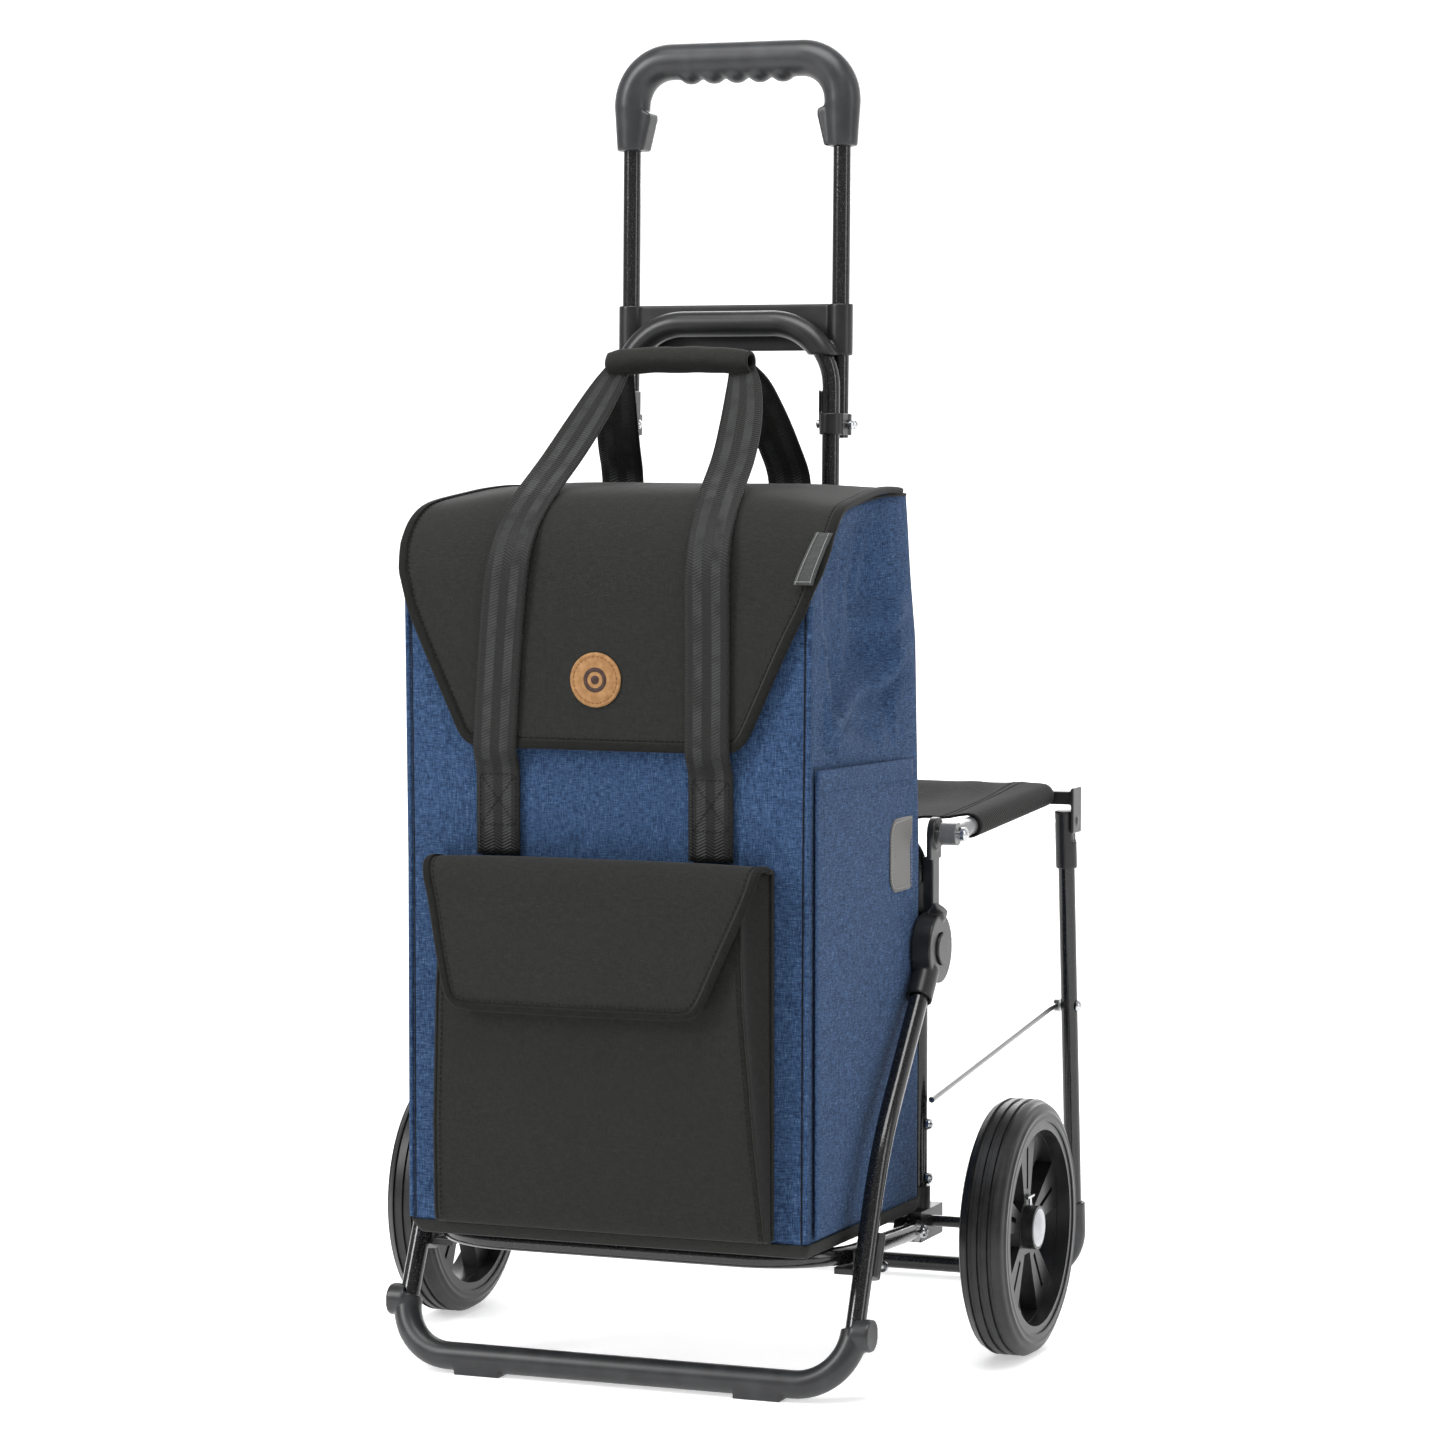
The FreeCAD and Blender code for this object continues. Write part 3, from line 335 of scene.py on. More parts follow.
def grid(name, rows, material, ring=False):
    """A sheet through rows of points; each row closes on itself if ring is set."""
    wide = len(rows[0])
    points, uvs, faces = [], [], []
    travelled = 0.0
    middle = wide // 2
    for index, row in enumerate(rows):
        if index:
            travelled += (row[middle] - rows[index - 1][middle]).length
        for column, point in enumerate(row):
            points.append(point)
            uvs.append((column / (wide - 1), travelled))
    for index in range(len(rows) - 1):
        for column in range(wide if ring else wide - 1):
            after = (column + 1) % wide
            low, high = index * wide, (index + 1) * wide
            faces.append((low + column, low + after, high + after, high + column))
    return link_mesh(name, points, faces, material, uvs)


def bake(obj):
    """Apply all of an object's modifiers."""
    graph = bpy.context.evaluated_depsgraph_get()
    mesh = bpy.data.meshes.new_from_object(obj.evaluated_get(graph))
    obj.modifiers.clear()
    obj.data = mesh
    for polygon in mesh.polygons:
        polygon.use_smooth = True
    return obj


def thicken(obj, thick, side=-1.0):
    """Give a sheet its thickness, on the side of its normals or away from them."""
    solid = obj.modifiers.new("thickness", "SOLIDIFY")
    solid.thickness, solid.offset = thick, side
    solid.use_even_offset = True
    return bake(obj)


def between(table, where):
    """Look up a value in (position, value) pairs, straight between them."""
    if where <= table[0][0]:
        return table[0][1]
    for (low, first), (high, second) in zip(table, table[1:]):
        if where <= high:
            return first + (second - first) * (where - low) / (high - low)
    return table[-1][1]


def ease(low, high, value):
    share = min(1.0, max(0.0, (value - low) / (high - low)))
    return share * share * (3 - 2 * share)


def flow(points, spacing):
    """A smooth line through points, resampled at even steps; points may be of any size."""
    padded = [points[0], *points, points[-1]]
    fine = []
    for a, b, c, d in zip(padded, padded[1:], padded[2:], padded[3:]):
        for index in range(24):
            t = index / 24
            fine.append(tuple(0.5 * (2 * q + (r - p) * t + (2 * p - 5 * q + 4 * r - s) * t * t
                                     + (3 * q - p - 3 * r + s) * t ** 3)
                              for p, q, r, s in zip(a, b, c, d)))
    fine.append(tuple(points[-1]))
    lengths = [0.0]
    for before, after in zip(fine, fine[1:]):
        lengths.append(lengths[-1] + math.dist(before[:3], after[:3]))
    count = max(2, round(lengths[-1] / spacing))
    out, at = [], 0
    for index in range(count + 1):
        goal = lengths[-1] * index / count
        while at < len(lengths) - 2 and lengths[at + 1] < goal:
            at += 1
        share = (goal - lengths[at]) / max(lengths[at + 1] - lengths[at], 1e-9)
        share = min(1.0, share)
        out.append(tuple(p + (q - p) * share for p, q in zip(fine[at], fine[at + 1])))
    return out


def flow_flat(points, spacing):
    """The same for (y, z) pairs."""
    return [(y, z) for y, z, _ in flow([point + (0.0,) for point in points], spacing)]


def sweep(name, stations, section, material):
    """A closed section of (side, up) offsets carried along (point, side, up) stations."""
    rows = []
    for point, side, up in stations:
        rows.append([point + side * a + up * b for a, b in section])
    obj = grid(name, rows, material, ring=True)
    wide, count = len(section), len(rows)
    mesh = bmesh.new()
    mesh.from_mesh(obj.data)
    mesh.verts.ensure_lookup_table()
    mesh.faces.new([mesh.verts[index] for index in range(wide)][::-1])
    mesh.faces.new([mesh.verts[(count - 1) * wide + index] for index in range(wide)])
    bmesh.ops.recalc_face_normals(mesh, faces=mesh.faces)
    mesh.to_mesh(obj.data)
    mesh.free()
    for polygon in obj.data.polygons:
        polygon.use_smooth = len(polygon.vertices) == 4
    return obj


def circle(radius, count=10):
    return [(radius * math.cos(2 * math.pi * i / count), radius * math.sin(2 * math.pi * i / count))
            for i in range(count)]


def heading(points, index):
    """Which way a line of points runs at one of them."""
    return (points[min(index + 1, len(points) - 1)] - points[max(index - 1, 0)]).normalized()


def stations_along(points):
    """Stations for sweep along a line, with the side kept square to the Y axis."""
    out = []
    for index, point in enumerate(points):
        along = heading(points, index)
        side = along.cross(BACKWARD).normalized()
        out.append((point, side, side.cross(along)))
    return out


def edge_stations(rows):
    """Stations (point, inwards, normal) round a sheet's edge: left down, bottom, right up."""
    trail = [(row[0], row[2]) for row in rows]
    trail += list(zip(rows[-1], rows[-3]))[1:-1]
    trail += [(row[-1], row[-3]) for row in reversed(rows)]
    edge, out = [point for point, _ in trail], []
    for index, (point, inner) in enumerate(trail):
        along = heading(edge, index)
        inward = inner - point
        inward = (inward - along * inward.dot(along)).normalized()
        out.append((point, inward, along.cross(inward).normalized()))
    return out


def stitches(name, stations, inset, lift, material=THREAD, pitch=4.4 * MM, long=2.9 * MM, thick=0.42 * MM):
    """A row of separate thread stitches at an inset from a line of stations."""
    line = [point + inward * inset + normal * lift for point, inward, normal in stations]
    reach = [0.0]
    for before, after in zip(line, line[1:]):
        reach.append(reach[-1] + (after - before).length)
    points, faces, goal, at = [], [], pitch / 2, 0
    while goal < reach[-1] - pitch / 2:
        while reach[at + 1] < goal:
            at += 1
        share = (goal - reach[at]) / (reach[at + 1] - reach[at])
        middle = line[at].lerp(line[at + 1], share)
        along = (line[at + 1] - line[at]).normalized()
        normal = stations[at][2]
        across = along.cross(normal).normalized()
        base = len(points)
        for end, width in ((-0.5, 0.35), (-0.3, 1.0), (0.3, 1.0), (0.5, 0.35)):
            for a, b in ((-1, -0.4), (-0.5, 0.7), (0.5, 0.7), (1, -0.4)):
                points.append(middle + along * (end * long) + across * (a * thick * width)
                              + normal * (b * thick * width))
        for ring_index in range(3):
            for a in range(4):
                b = (a + 1) % 4
                low, high = base + 4 * ring_index, base + 4 * ring_index + 4
                faces.append((low + a, low + b, high + b, high + a))
        faces.append((base, base + 3, base + 2, base + 1))
        faces.append((base + 12, base + 13, base + 14, base + 15))
        goal += pitch
    return link_mesh(name, points, faces, material)


def join(name, objects):
    """One object from several of the same material."""
    mesh = bmesh.new()
    for obj in objects:
        mesh.from_mesh(obj.data)
    data = bpy.data.meshes.new(name)
    mesh.to_mesh(data)
    mesh.free()
    data.materials.append(objects[0].data.materials[0])
    for polygon in data.polygons:
        polygon.material_index = 0
    for obj in objects:
        bpy.data.objects.remove(obj)
    return link(name, data)


def settle(obj, held, slack, cap):
    """Let the cloth relax for a moment with some points held, and limit how far it moves."""
    rest = [vertex.co.copy() for vertex in obj.data.vertices]
    group = obj.vertex_groups.new(name="held")
    for index, point in enumerate(rest):
        group.add([index], held(point), "REPLACE")
    cloth = obj.modifiers.new("Cloth", "CLOTH")
    settings = cloth.settings
    settings.quality = 6
    settings.mass = 0.2
    settings.tension_stiffness = settings.compression_stiffness = 12
    settings.shear_stiffness = 4
    settings.bending_stiffness = 0.4
    settings.vertex_group_mass = "held"
    settings.shrink_min = -slack
    settings.effector_weights.gravity = 0.6
    scene = bpy.context.scene
    for number in range(1, SETTLE_FRAMES + 1):
        scene.frame_set(number)
    graph = bpy.context.evaluated_depsgraph_get()
    moved = [vertex.co.copy() for vertex in obj.evaluated_get(graph).data.vertices]
    obj.modifiers.clear()
    obj.vertex_groups.clear()
    scene.frame_set(1)
    for vertex, before, after in zip(obj.data.vertices, rest, moved):
        shift = after - before
        if shift.length > cap:
            shift *= cap / shift.length
        vertex.co = before + shift


def place(obj, body, replaces=(), folds=True):
    """Ride on a body, hide the CAD parts it replaces, and give it a mesh of its own when folds is set."""
    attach(obj, body)
    if replaces:
        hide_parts(*replaces)
    if folds:
        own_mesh(obj)
    return obj


# ---- bag
BAG_FRONT = [(0.108, -0.2552), (0.400, -0.2538), (0.604, -0.2538), (0.622, -0.2465), (0.664, -0.2065)]
BAG_HALF_FRONT = [(0.108, 0.1605), (0.400, 0.1610), (0.612, 0.1630), (0.664, 0.1660)]
BAG_HALF_BACK = [(0.108, 0.1665), (0.400, 0.1670), (0.560, 0.1640), (0.664, 0.1550)]
BAG_BACK = -0.0200
BAG_LOW, BAG_HIGH = 0.1112, 0.6570
FRONT_HOLLOW, BACK_HOLLOW = 0.9 * MM, 13.5 * MM
LID_RISE, EDGE_CURL = 15.6 * MM, 11 * MM
PINCH = 23 * MM


def under_lid(point):
    """Lift of the top edge, which follows the underside of the lid back."""
    return LID_RISE * ease(-0.215, -0.040, point.y) * ease(0.600, BAG_HIGH, point.z)


def outline(up, grow=0.0, corner=4.5 * MM):
    """The bag's outline at a height as (point, panel, share along the panel)."""
    curl = EDGE_CURL * (1 - ease(0.104, 0.125, up))
    front = between(BAG_FRONT, up) - grow + curl
    wide, narrow = between(BAG_HALF_FRONT, up) + grow, between(BAG_HALF_BACK, up) + grow
    wide, narrow = wide - 0.5 * curl, narrow - 0.3 * curl
    corners = [Vector((-wide, front, up)), Vector((wide, front, up)),
               Vector((narrow, BAG_BACK + grow, up)), Vector((-narrow, BAG_BACK + grow, up))]
    out = []
    for index, (panel, count) in enumerate((("front", 56), ("right", 40), ("back", 30), ("left", 40))):
        start, end = corners[index], corners[(index + 1) % 4]
        along = (end - start).normalized()
        first, last = start + along * corner, end - along * corner
        for step in range(count + 1):
            out.append((first.lerp(last, step / count), panel, step / count))
        turn = (corners[(index + 2) % 4] - end).normalized()
        for angle in (22.5, 45, 67.5):
            turned = math.radians(angle)
            centre = end - along * corner + turn * corner
            point = centre + along * corner * math.sin(turned) - turn * corner * math.cos(turned)
            out.append((point, panel, 1.0))
    return out


def gusset(share, up):
    """How far the side panel is drawn in: pinched under the lid, flat at the pocket."""
    depth = PINCH * ease(0.485, 0.570, up) * (1 - 0.45 * ease(0.612, 0.657, up))
    crease = 0.09 + 0.07 * ease(0.655, 0.50, up)
    across = ease(crease - 0.012, crease + 0.045, share) * (1 - ease(0.55, 0.99, share))
    fold = 0.0
    for start, rise, strength in ((0.494, 0.062, 9.0), (0.548, 0.040, 7.0), (0.596, -0.020, 4.5)):
        off = (up - start - rise * share) / 0.011
        fold -= strength * MM * math.exp(-off * off) * ease(0.08, 0.35, share)
    return max(-4.0 * MM, depth * across + fold * (1 - ease(0.80, 0.99, share)) * ease(0.478, 0.50, up))


def ripple(point, size, height):
    return height * noise.noise(point * (1 / size))


def drape(point, panel, share, up, wrinkled):
    """Draw a point of the outline in or out as its panel hangs, with or without fine wrinkles."""
    inner = math.sin(math.pi * share)
    if panel == "front":
        point.y += wrinkled * ripple(Vector((point.x, 0, point.z)), 0.07, 0.8 * MM) * inner
        point.y += FRONT_HOLLOW * inner
    elif panel == "back":
        flat = min(1.0, 7 * share, 7 * (1 - share))
        wrinkle = wrinkled * ripple(Vector((point.x, 5, point.z)), 0.06, 2.0 * MM)
        point.y -= (BACK_HOLLOW + wrinkle) * ease(0, 1, flat)
    else:
        sign, along = (1, share) if panel == "right" else (-1, 1 - share)
        point.x -= sign * gusset(along, up)
        wrinkle = wrinkled * ripple(Vector((sign * 3, point.y * 0.8, point.z * 1.6)), 0.045, 1.6 * MM)
        point.x += sign * wrinkle * inner * ease(0.46, 0.52, up)
    point.z += under_lid(point)
    return point


LEVELS = [BAG_LOW + (BAG_HIGH - BAG_LOW) * index / 88 for index in range(89)]
rows = [[drape(point, panel, share, up, True) for point, panel, share in outline(up)] for up in LEVELS]
shell = grid("bag_shell", rows, BLUE, ring=True)


def held_on_bag(point):
    """1 where the bag is sewn or backed by a pocket, 0 where the cloth hangs free."""
    up = point.z
    free_side = abs(point.x) > 0.13 and ease(0.472, 0.492, up) * (1 - ease(0.632, 0.652, up))
    along = (point.y - BAG_BACK) / (between(BAG_FRONT, up) - BAG_BACK)
    if free_side and 0.05 < along < 0.93:
        return 1 - free_side * min(1.0, 6 * (along - 0.05), 8 * (0.93 - along))
    return 1.0


settle(shell, held_on_bag, slack=0.035, cap=6 * MM)
thicken(shell, 1.5 * MM)
place(shell, "root", ["bag_body"])

base_rows = []
TRIM_TOP = 0.1235
ring_low = [point for point, _, _ in outline(BAG_LOW)]
centre = sum(ring_low, Vector()) / len(ring_low)
for share in (1.0, 0.97, 0.9, 0.7, 0.45, 0.2, 0.02):
    base_rows.append([centre.lerp(point, share) + Vector((0, 0, 0.6 * MM * (1 - share)))
                      for point in ring_low])
base = grid("bag_base", base_rows, BLACK, ring=True)
place(base, "root")

TRIM = ((0.1114, 0.4), (0.1108, 1.0), (0.1120, 1.6), (0.1160, 1.8), (0.1205, 1.8), (0.1222, 1.3),
        (0.1218, 0.4))
trim_rows = [[point for point, _, _ in outline(up, grow * MM, 5.5 * MM)] for up, grow in TRIM]
trim = grid("bag_base_trim", trim_rows, BLACK, ring=True)
place(trim, "root")

piping = []
for sign, side in reversed(SIDES):
    line = [Vector((sign * (between(BAG_HALF_FRONT, up) - 0.2 * MM), between(BAG_FRONT, up) + 0.6 * MM, up))
            for up in LEVELS if up > TRIM_TOP]
    piping.append(sweep(f"piping_{sign}", stations_along(line), circle(2.1 * MM), BLUE))
    # Two black thread cords run beside each piping: the one behind it on the side panel is the seam, and the
    # one on the front face is a painted shadow where the groove beside the piping lies in shade.
    groove_shade_line = [point + Vector((-sign * 3.4 * MM, -0.1 * MM, 0)) for point in line]
    behind = [point + Vector((0.2 * sign * MM, 3.6 * MM, 0)) for point in line]
    for label, seam_and_shade_line in (("front", groove_shade_line), ("side", behind)):
        seam_and_shade_cord = sweep(f"piping_seam_and_shade_{label}_{side}",
                     stations_along(seam_and_shade_line), circle(0.75 * MM, 6), THREAD)
        place(seam_and_shade_cord, "root")
place(join("bag_piping", piping), "root")

rim_rows = []
for out, lift in ((-0.2, -2.5), (0.5, -1.2), (0.5, 0.2), (-0.6, 0.7), (-1.8, 0.2), (-2.2, -4), (-2.0, -9)):
    rim_rows.append([drape(point, panel, share, BAG_HIGH, False) + Vector((0, 0, lift * MM))
                     for point, panel, share in outline(BAG_HIGH, out * MM)])
rim = grid("bag_rim_binding", rim_rows, BLACK, ring=True)
place(rim, "root")

# ---- pockets on the sides
POCKET_START, POCKET_LONG, POCKET_FOOT, POCKET_TOP = -0.2445, 0.2095, 0.1245, 0.4715
side_pieces = []
for sign, side in SIDES:
    rows = []
    for index in range(61):
        share_up = index / 60
        row = []
        for column in range(37):
            share = column / 36
            y = POCKET_START + POCKET_LONG * share
            top = POCKET_TOP - 4.5 * MM * share
            up = POCKET_FOOT + (top - POCKET_FOOT) * share_up
            x = 0.1640 + 1.0 * MM * share
            x += 1.4 * MM * math.sin(math.pi * share) * ease(0.15, 0.45, up)
            x += 0.8 * MM * ease(0.93, 1.0, share_up) * math.sin(math.pi * share)
            x += ripple(Vector((sign * 7, y, up)), 0.05, 0.5 * MM) * math.sin(math.pi * share)
            row.append(Vector((sign * x, y, up)))
        rows.append(row)
    pocket = grid(f"side_pocket_{side}", rows, BLUE)
    thicken(pocket, 1.1 * MM, 0)
    place(pocket, "root", ["side_pockets"] if side == "right" else [])
    hem_stations = [(point + Vector((sign * 0.75 * MM, 0, 0)), Vector((0, 0, -1)), Vector((sign, 0, 0)))
                    for point in rows[-1]]
    side_pieces.append(stitches(f"hem_{side}", hem_stations, 13 * MM, 0.1 * MM))
    hem = sweep(f"side_pocket_hem_{side}", hem_stations,
                [(-0.9 * MM, 0.3 * MM), (0.2 * MM, 0.75 * MM), (14.5 * MM, 0.55 * MM), (15 * MM, 0.1 * MM),
                 (14.5 * MM, -0.3 * MM), (0.2 * MM, -1.4 * MM), (-0.9 * MM, -1.0 * MM)],
                BLUE)
    place(hem, "root")
place(join("side_pocket_stitches", side_pieces), "root")


# ---- reflective patches
def rounded_patch(low_y, high_y, low_z, high_z, radius):
    """Outline with round corners towards the front, as (y, z)."""
    points = [(high_y, low_z), (high_y, high_z)]
    for y, z, start in ((low_y + radius, high_z - radius, 90), (low_y + radius, low_z + radius, 180)):
        for step in range(9):
            angle = math.radians(start + 90 * step / 8)
            points.append((y + radius * math.cos(angle), z + radius * math.sin(angle)))
    return points


for sign, side in SIDES:
    rings = []
    ring_out = rounded_patch(-0.089, -0.0355, 0.3665, 0.4235, 15 * MM)
    middle = Vector((0, sum(y for y, _ in ring_out) / len(ring_out), 0.395))
    for share, lift in ((1.0, 0.3), (0.985, 1.0), (0.93, 1.1), (0.6, 1.0), (0.02, 1.0)):
        row = []
        for y, z in ring_out:
            point = middle.lerp(Vector((0, y, z)), share)
            bulge = 1.4 * MM * math.sin(math.pi * (point.y - POCKET_START) / POCKET_LONG)
            row.append(Vector((sign * (0.1652 + bulge + lift * MM), point.y, point.z)))
        rings.append(row)
    patch = grid(f"reflector_patch_{side}", rings, MATERIALS["reflector"], ring=True)
    place(patch, "root", ["reflector_patches"] if side == "right" else [])
    border = []
    for point in rings[1] + rings[1][:1]:
        inner = (Vector((point.x, middle.y, middle.z)) - point).normalized()
        border.append((point, inner, Vector((sign, 0, 0))))
    place(stitches(f"reflector_stitches_{side}", border, 2.6 * MM, 0.25 * MM, PALE_THREAD, 2.6 * MM,
                   2.1 * MM, 0.3 * MM), "root")


# ---- lid
LID_PROFILE = [(-0.0350, 0.6785), (-0.080, 0.6800), (-0.140, 0.6800), (-0.196, 0.6765), (-0.226, 0.6680),
               (-0.248, 0.6480), (-0.2585, 0.6190), (-0.2612, 0.5850), (-0.2616, 0.5300), (-0.2618, 0.4852)]
LID_HALF_TOP = [(-0.262, 0.1730), (-0.236, 0.1730), (-0.200, 0.1700), (-0.120, 0.1635), (-0.0335, 0.1565)]
LID_HALF_FRONT = [(0.4852, 0.0970), (0.4862, 0.1040), (0.4890, 0.1105), (0.4950, 0.1155), (0.5020, 0.1190),
                  (0.5900, 0.1600), (0.6180, 0.1695), (0.6440, 0.1730)]
line = flow_flat(LID_PROFILE, 6.5 * MM)
low_end = [(line[-1][0], z) for z in (0.4975, 0.4935, 0.4905, 0.4882, 0.4864, 0.4852)]
line = [(y, z) for y, z in line if z > 0.5] + low_end
lid_rows = []
for y, z in line:
    half = between(LID_HALF_FRONT, z) if z < 0.644 else between(LID_HALF_TOP, y)
    row = []
    for column in range(61):
        share = 2 * column / 60 - 1
        x = half * share
        droop = ease(0.45, 1.0, abs(share)) ** 1.4
        shoulder = ease(-0.05, -0.20, y) * ease(0.56, 0.645, z)
        point = Vector((x + 2.5 * MM * shoulder, y, z))
        point.z -= (2.0 + 7.0 * shoulder) * MM * droop * ease(0.60, 0.65, z)
        point.y += 3.0 * MM * droop * shoulder
        point.z += 1.2 * MM * (1 - share * share) * ease(0.655, 0.668, z)
        point += Vector((0, -0.7, 0.7)) * ripple(Vector((x, y, z)), 0.09, 0.9 * MM)
        row.append(point)
    lid_rows.append(row)
lid = grid("lid", lid_rows, BLACK)
thicken(lid, 3.0 * MM, 1.0)
place(lid, "top_flap", ["top_flap"])

EDGE_BAND = [(6.2, 0.9), (4.0, 1.15), (0.8, 1.2), (-0.9, 0.4), (-1.3, -1.3), (-0.9, -3.2), (0.8, -4.0),
             (6.2, -3.9), (6.2, -3.0), (1.4, -2.9), (0.4, -1.5), (1.4, 0.2)]


def band(name, stations, scale, thick):
    """Cloth tape folded round the raw edge of a thick sheet."""
    section = []
    for inward, up in EDGE_BAND:
        up = up if up > 0 else up * thick / 3.0
        section.append((inward * scale * MM, up * MM))
    return sweep(name, stations, section, TAPE)


def facing(stations, towards):
    """Turn the stations' normals to the same side as a vector field."""
    out = []
    for point, inward, normal in stations:
        out.append((point, inward, normal if normal.dot(towards(point)) > 0 else -normal))
    return out


def away_from_bag(point):
    return point - Vector((point.x * 0.6, -0.12, 0.50))


def bind(rows, away, body, names, scale, thick, inset):
    """Tape and stitch a sheet's edge."""
    edge = facing(edge_stations(rows), away)
    place(band(names[0], edge, scale, thick), body)
    place(stitches(names[1], edge, inset * MM, 0.25 * MM), body)


bind(lid_rows, away_from_bag, "top_flap", ("lid_edge_tape", "lid_stitches"), 1.0, 3.0, 7.4)


# ---- patch and tab on the lid
def disc(name, centre, profile, material, count=64):
    """A turned piece that faces the front, from (radius, lift) pairs."""
    rows = []
    for radius, lift in profile:
        rows.append([centre + Vector((radius * MM * math.cos(2 * math.pi * i / count), -lift * MM,
                                      radius * MM * math.sin(2 * math.pi * i / count)))
                     for i in range(count)])
    return grid(name, rows, material, ring=True)


PATCH_RADIUS = 20.5 * MM
patch_centre = Vector((-0.0040, -0.2618, 0.5366))
PATCH_PROFILE = [(20.3, -0.2), (20.5, 0.6), (20.1, 1.25), (19.2, 1.5), (18.0, 1.45), (17.4, 1.15),
                 (16.8, 1.45), (12.0, 1.6), (4.0, 1.6), (0.05, 1.6)]
patch = disc("leather_patch", patch_centre, PATCH_PROFILE, MATERIALS["leather"])
place(patch, "top_flap", ["leather_patch"])
ring_line = []
for index in range(97):
    angle = 2 * math.pi * index / 96
    radial = Vector((math.cos(angle), 0, math.sin(angle)))
    ring_line.append((patch_centre + radial * PATCH_RADIUS, -radial, FORWARD))
place(stitches("patch_stitches", ring_line, 3.1 * MM, 1.5 * MM, BROWN_THREAD, 3.4 * MM, 2.2 * MM, 0.36 * MM),
      "top_flap")
motif = disc("patch_motif", patch_centre, [(9.4, 1.5), (9.2, 1.78), (6.2, 1.78), (6.0, 1.5)], PRINT)
dot = disc("patch_dot", patch_centre, [(3.4, 1.5), (3.2, 1.78), (0.05, 1.78)], PRINT)
place(motif, "top_flap")
place(dot, "top_flap")

TAB_LINE = [(-0.2447, 0.6530), (-0.2530, 0.6410), (-0.2592, 0.6245), (-0.2622, 0.6095)]
tab_rows = []
for y, z in flow_flat(TAB_LINE, 3.4 * MM):
    share_up = (z - 0.609) / 0.043
    left, right = 0.1530 + 0.0100 * share_up, 0.1680 + 0.0078 * share_up
    row = []
    for column in range(9):
        x = left + (right - left) * column / 8
        droop = ease(0.45, 1.0, x / 0.176) ** 1.4
        row.append(Vector((x, y - 1.0 * MM + 3.2 * MM * droop * ease(0.60, 0.645, z),
                           z + 0.2 * MM - 6.5 * MM * droop * ease(0.60, 0.65, z))))
    tab_rows.append(row)
tab = grid("woven_tab", tab_rows, MATERIALS["label_cloth"])
thicken(tab, 1.0 * MM, 1.0)
place(tab, "top_flap", ["flap_label"])
tab_edge = facing(edge_stations(tab_rows), away_from_bag)
place(stitches("tab_border", tab_edge, 2.0 * MM, 1.15 * MM, PALE_THREAD, 1.6 * MM, 1.5 * MM, 0.22 * MM),
      "top_flap")

# ---- front pocket
POCKET_DEPTH = [(0.1215, -0.2562), (0.1230, -0.2640), (0.1280, -0.2690), (0.2000, -0.2795),
                (0.3000, -0.2868), (0.4000, -0.2835)]
POCKET_HALF = [(0.1215, 0.1338), (0.1280, 0.1336), (0.3000, 0.1235), (0.4000, 0.1190)]
POCKET_BACK, POCKET_WIDE = -0.2556, 0.1338
pocket_rows = []
pocket_levels = [0.1215, 0.1222, 0.1230, 0.1245] + [0.1265 + 0.2725 * i / 44 for i in range(45)]
for up in pocket_levels:
    front, half = between(POCKET_DEPTH, up), between(POCKET_HALF, up)
    crown = 2.6 * MM * ease(0.12, 0.20, up)
    right = []
    for step in range(9):
        share = step / 8
        y = front + (POCKET_BACK - front) * share
        x = half + (POCKET_WIDE - half) * share - 5.5 * MM * math.sin(math.pi * share) * ease(0.13, 0.34, up)
        right.append(Vector((x, y, up)))
    face = []
    for step in range(1, 44):
        share = step / 44
        x = -half + 2 * half * share
        y = front - crown * math.sin(math.pi * share)
        y += ripple(Vector((x, 9, up)), 0.06, 1.3 * MM) * min(1.0, 6 * share, 6 * (1 - share))
        face.append(Vector((x, y, up)))
    left = [Vector((-point.x, point.y, point.z)) for point in reversed(right)]
    pocket_rows.append(left + face + right)
pocket = grid("front_pocket_shell", pocket_rows, BLACK)
thicken(pocket, 1.4 * MM)
place(pocket, "root", ["front_pocket"])
ridges, seams = [], []
for sign in (-1, 1):
    edge_line, back_line = [], []
    for up in pocket_levels[3:]:
        front, half = between(POCKET_DEPTH, up), between(POCKET_HALF, up)
        edge_line.append(Vector((sign * half, front - 0.2 * MM, up)))
        back_line.append(Vector((sign * 0.1345, -0.2562, up)))
    for label, cord, radius in (("ridge", edge_line, 1.1), ("welt", back_line, 1.5)):
        ridges.append(sweep(f"pocket_{label}_{sign}", stations_along(cord), circle(radius * MM, 8), BLACK))
    stations = [(point, Vector((-sign, 0, 0)), FORWARD) for point in edge_line]
    seams.append(stitches(f"pocket_seam_{sign}", stations, 4.5 * MM, 0.9 * MM))
place(join("pocket_piping", ridges), "root")
place(join("pocket_stitches", seams), "root")

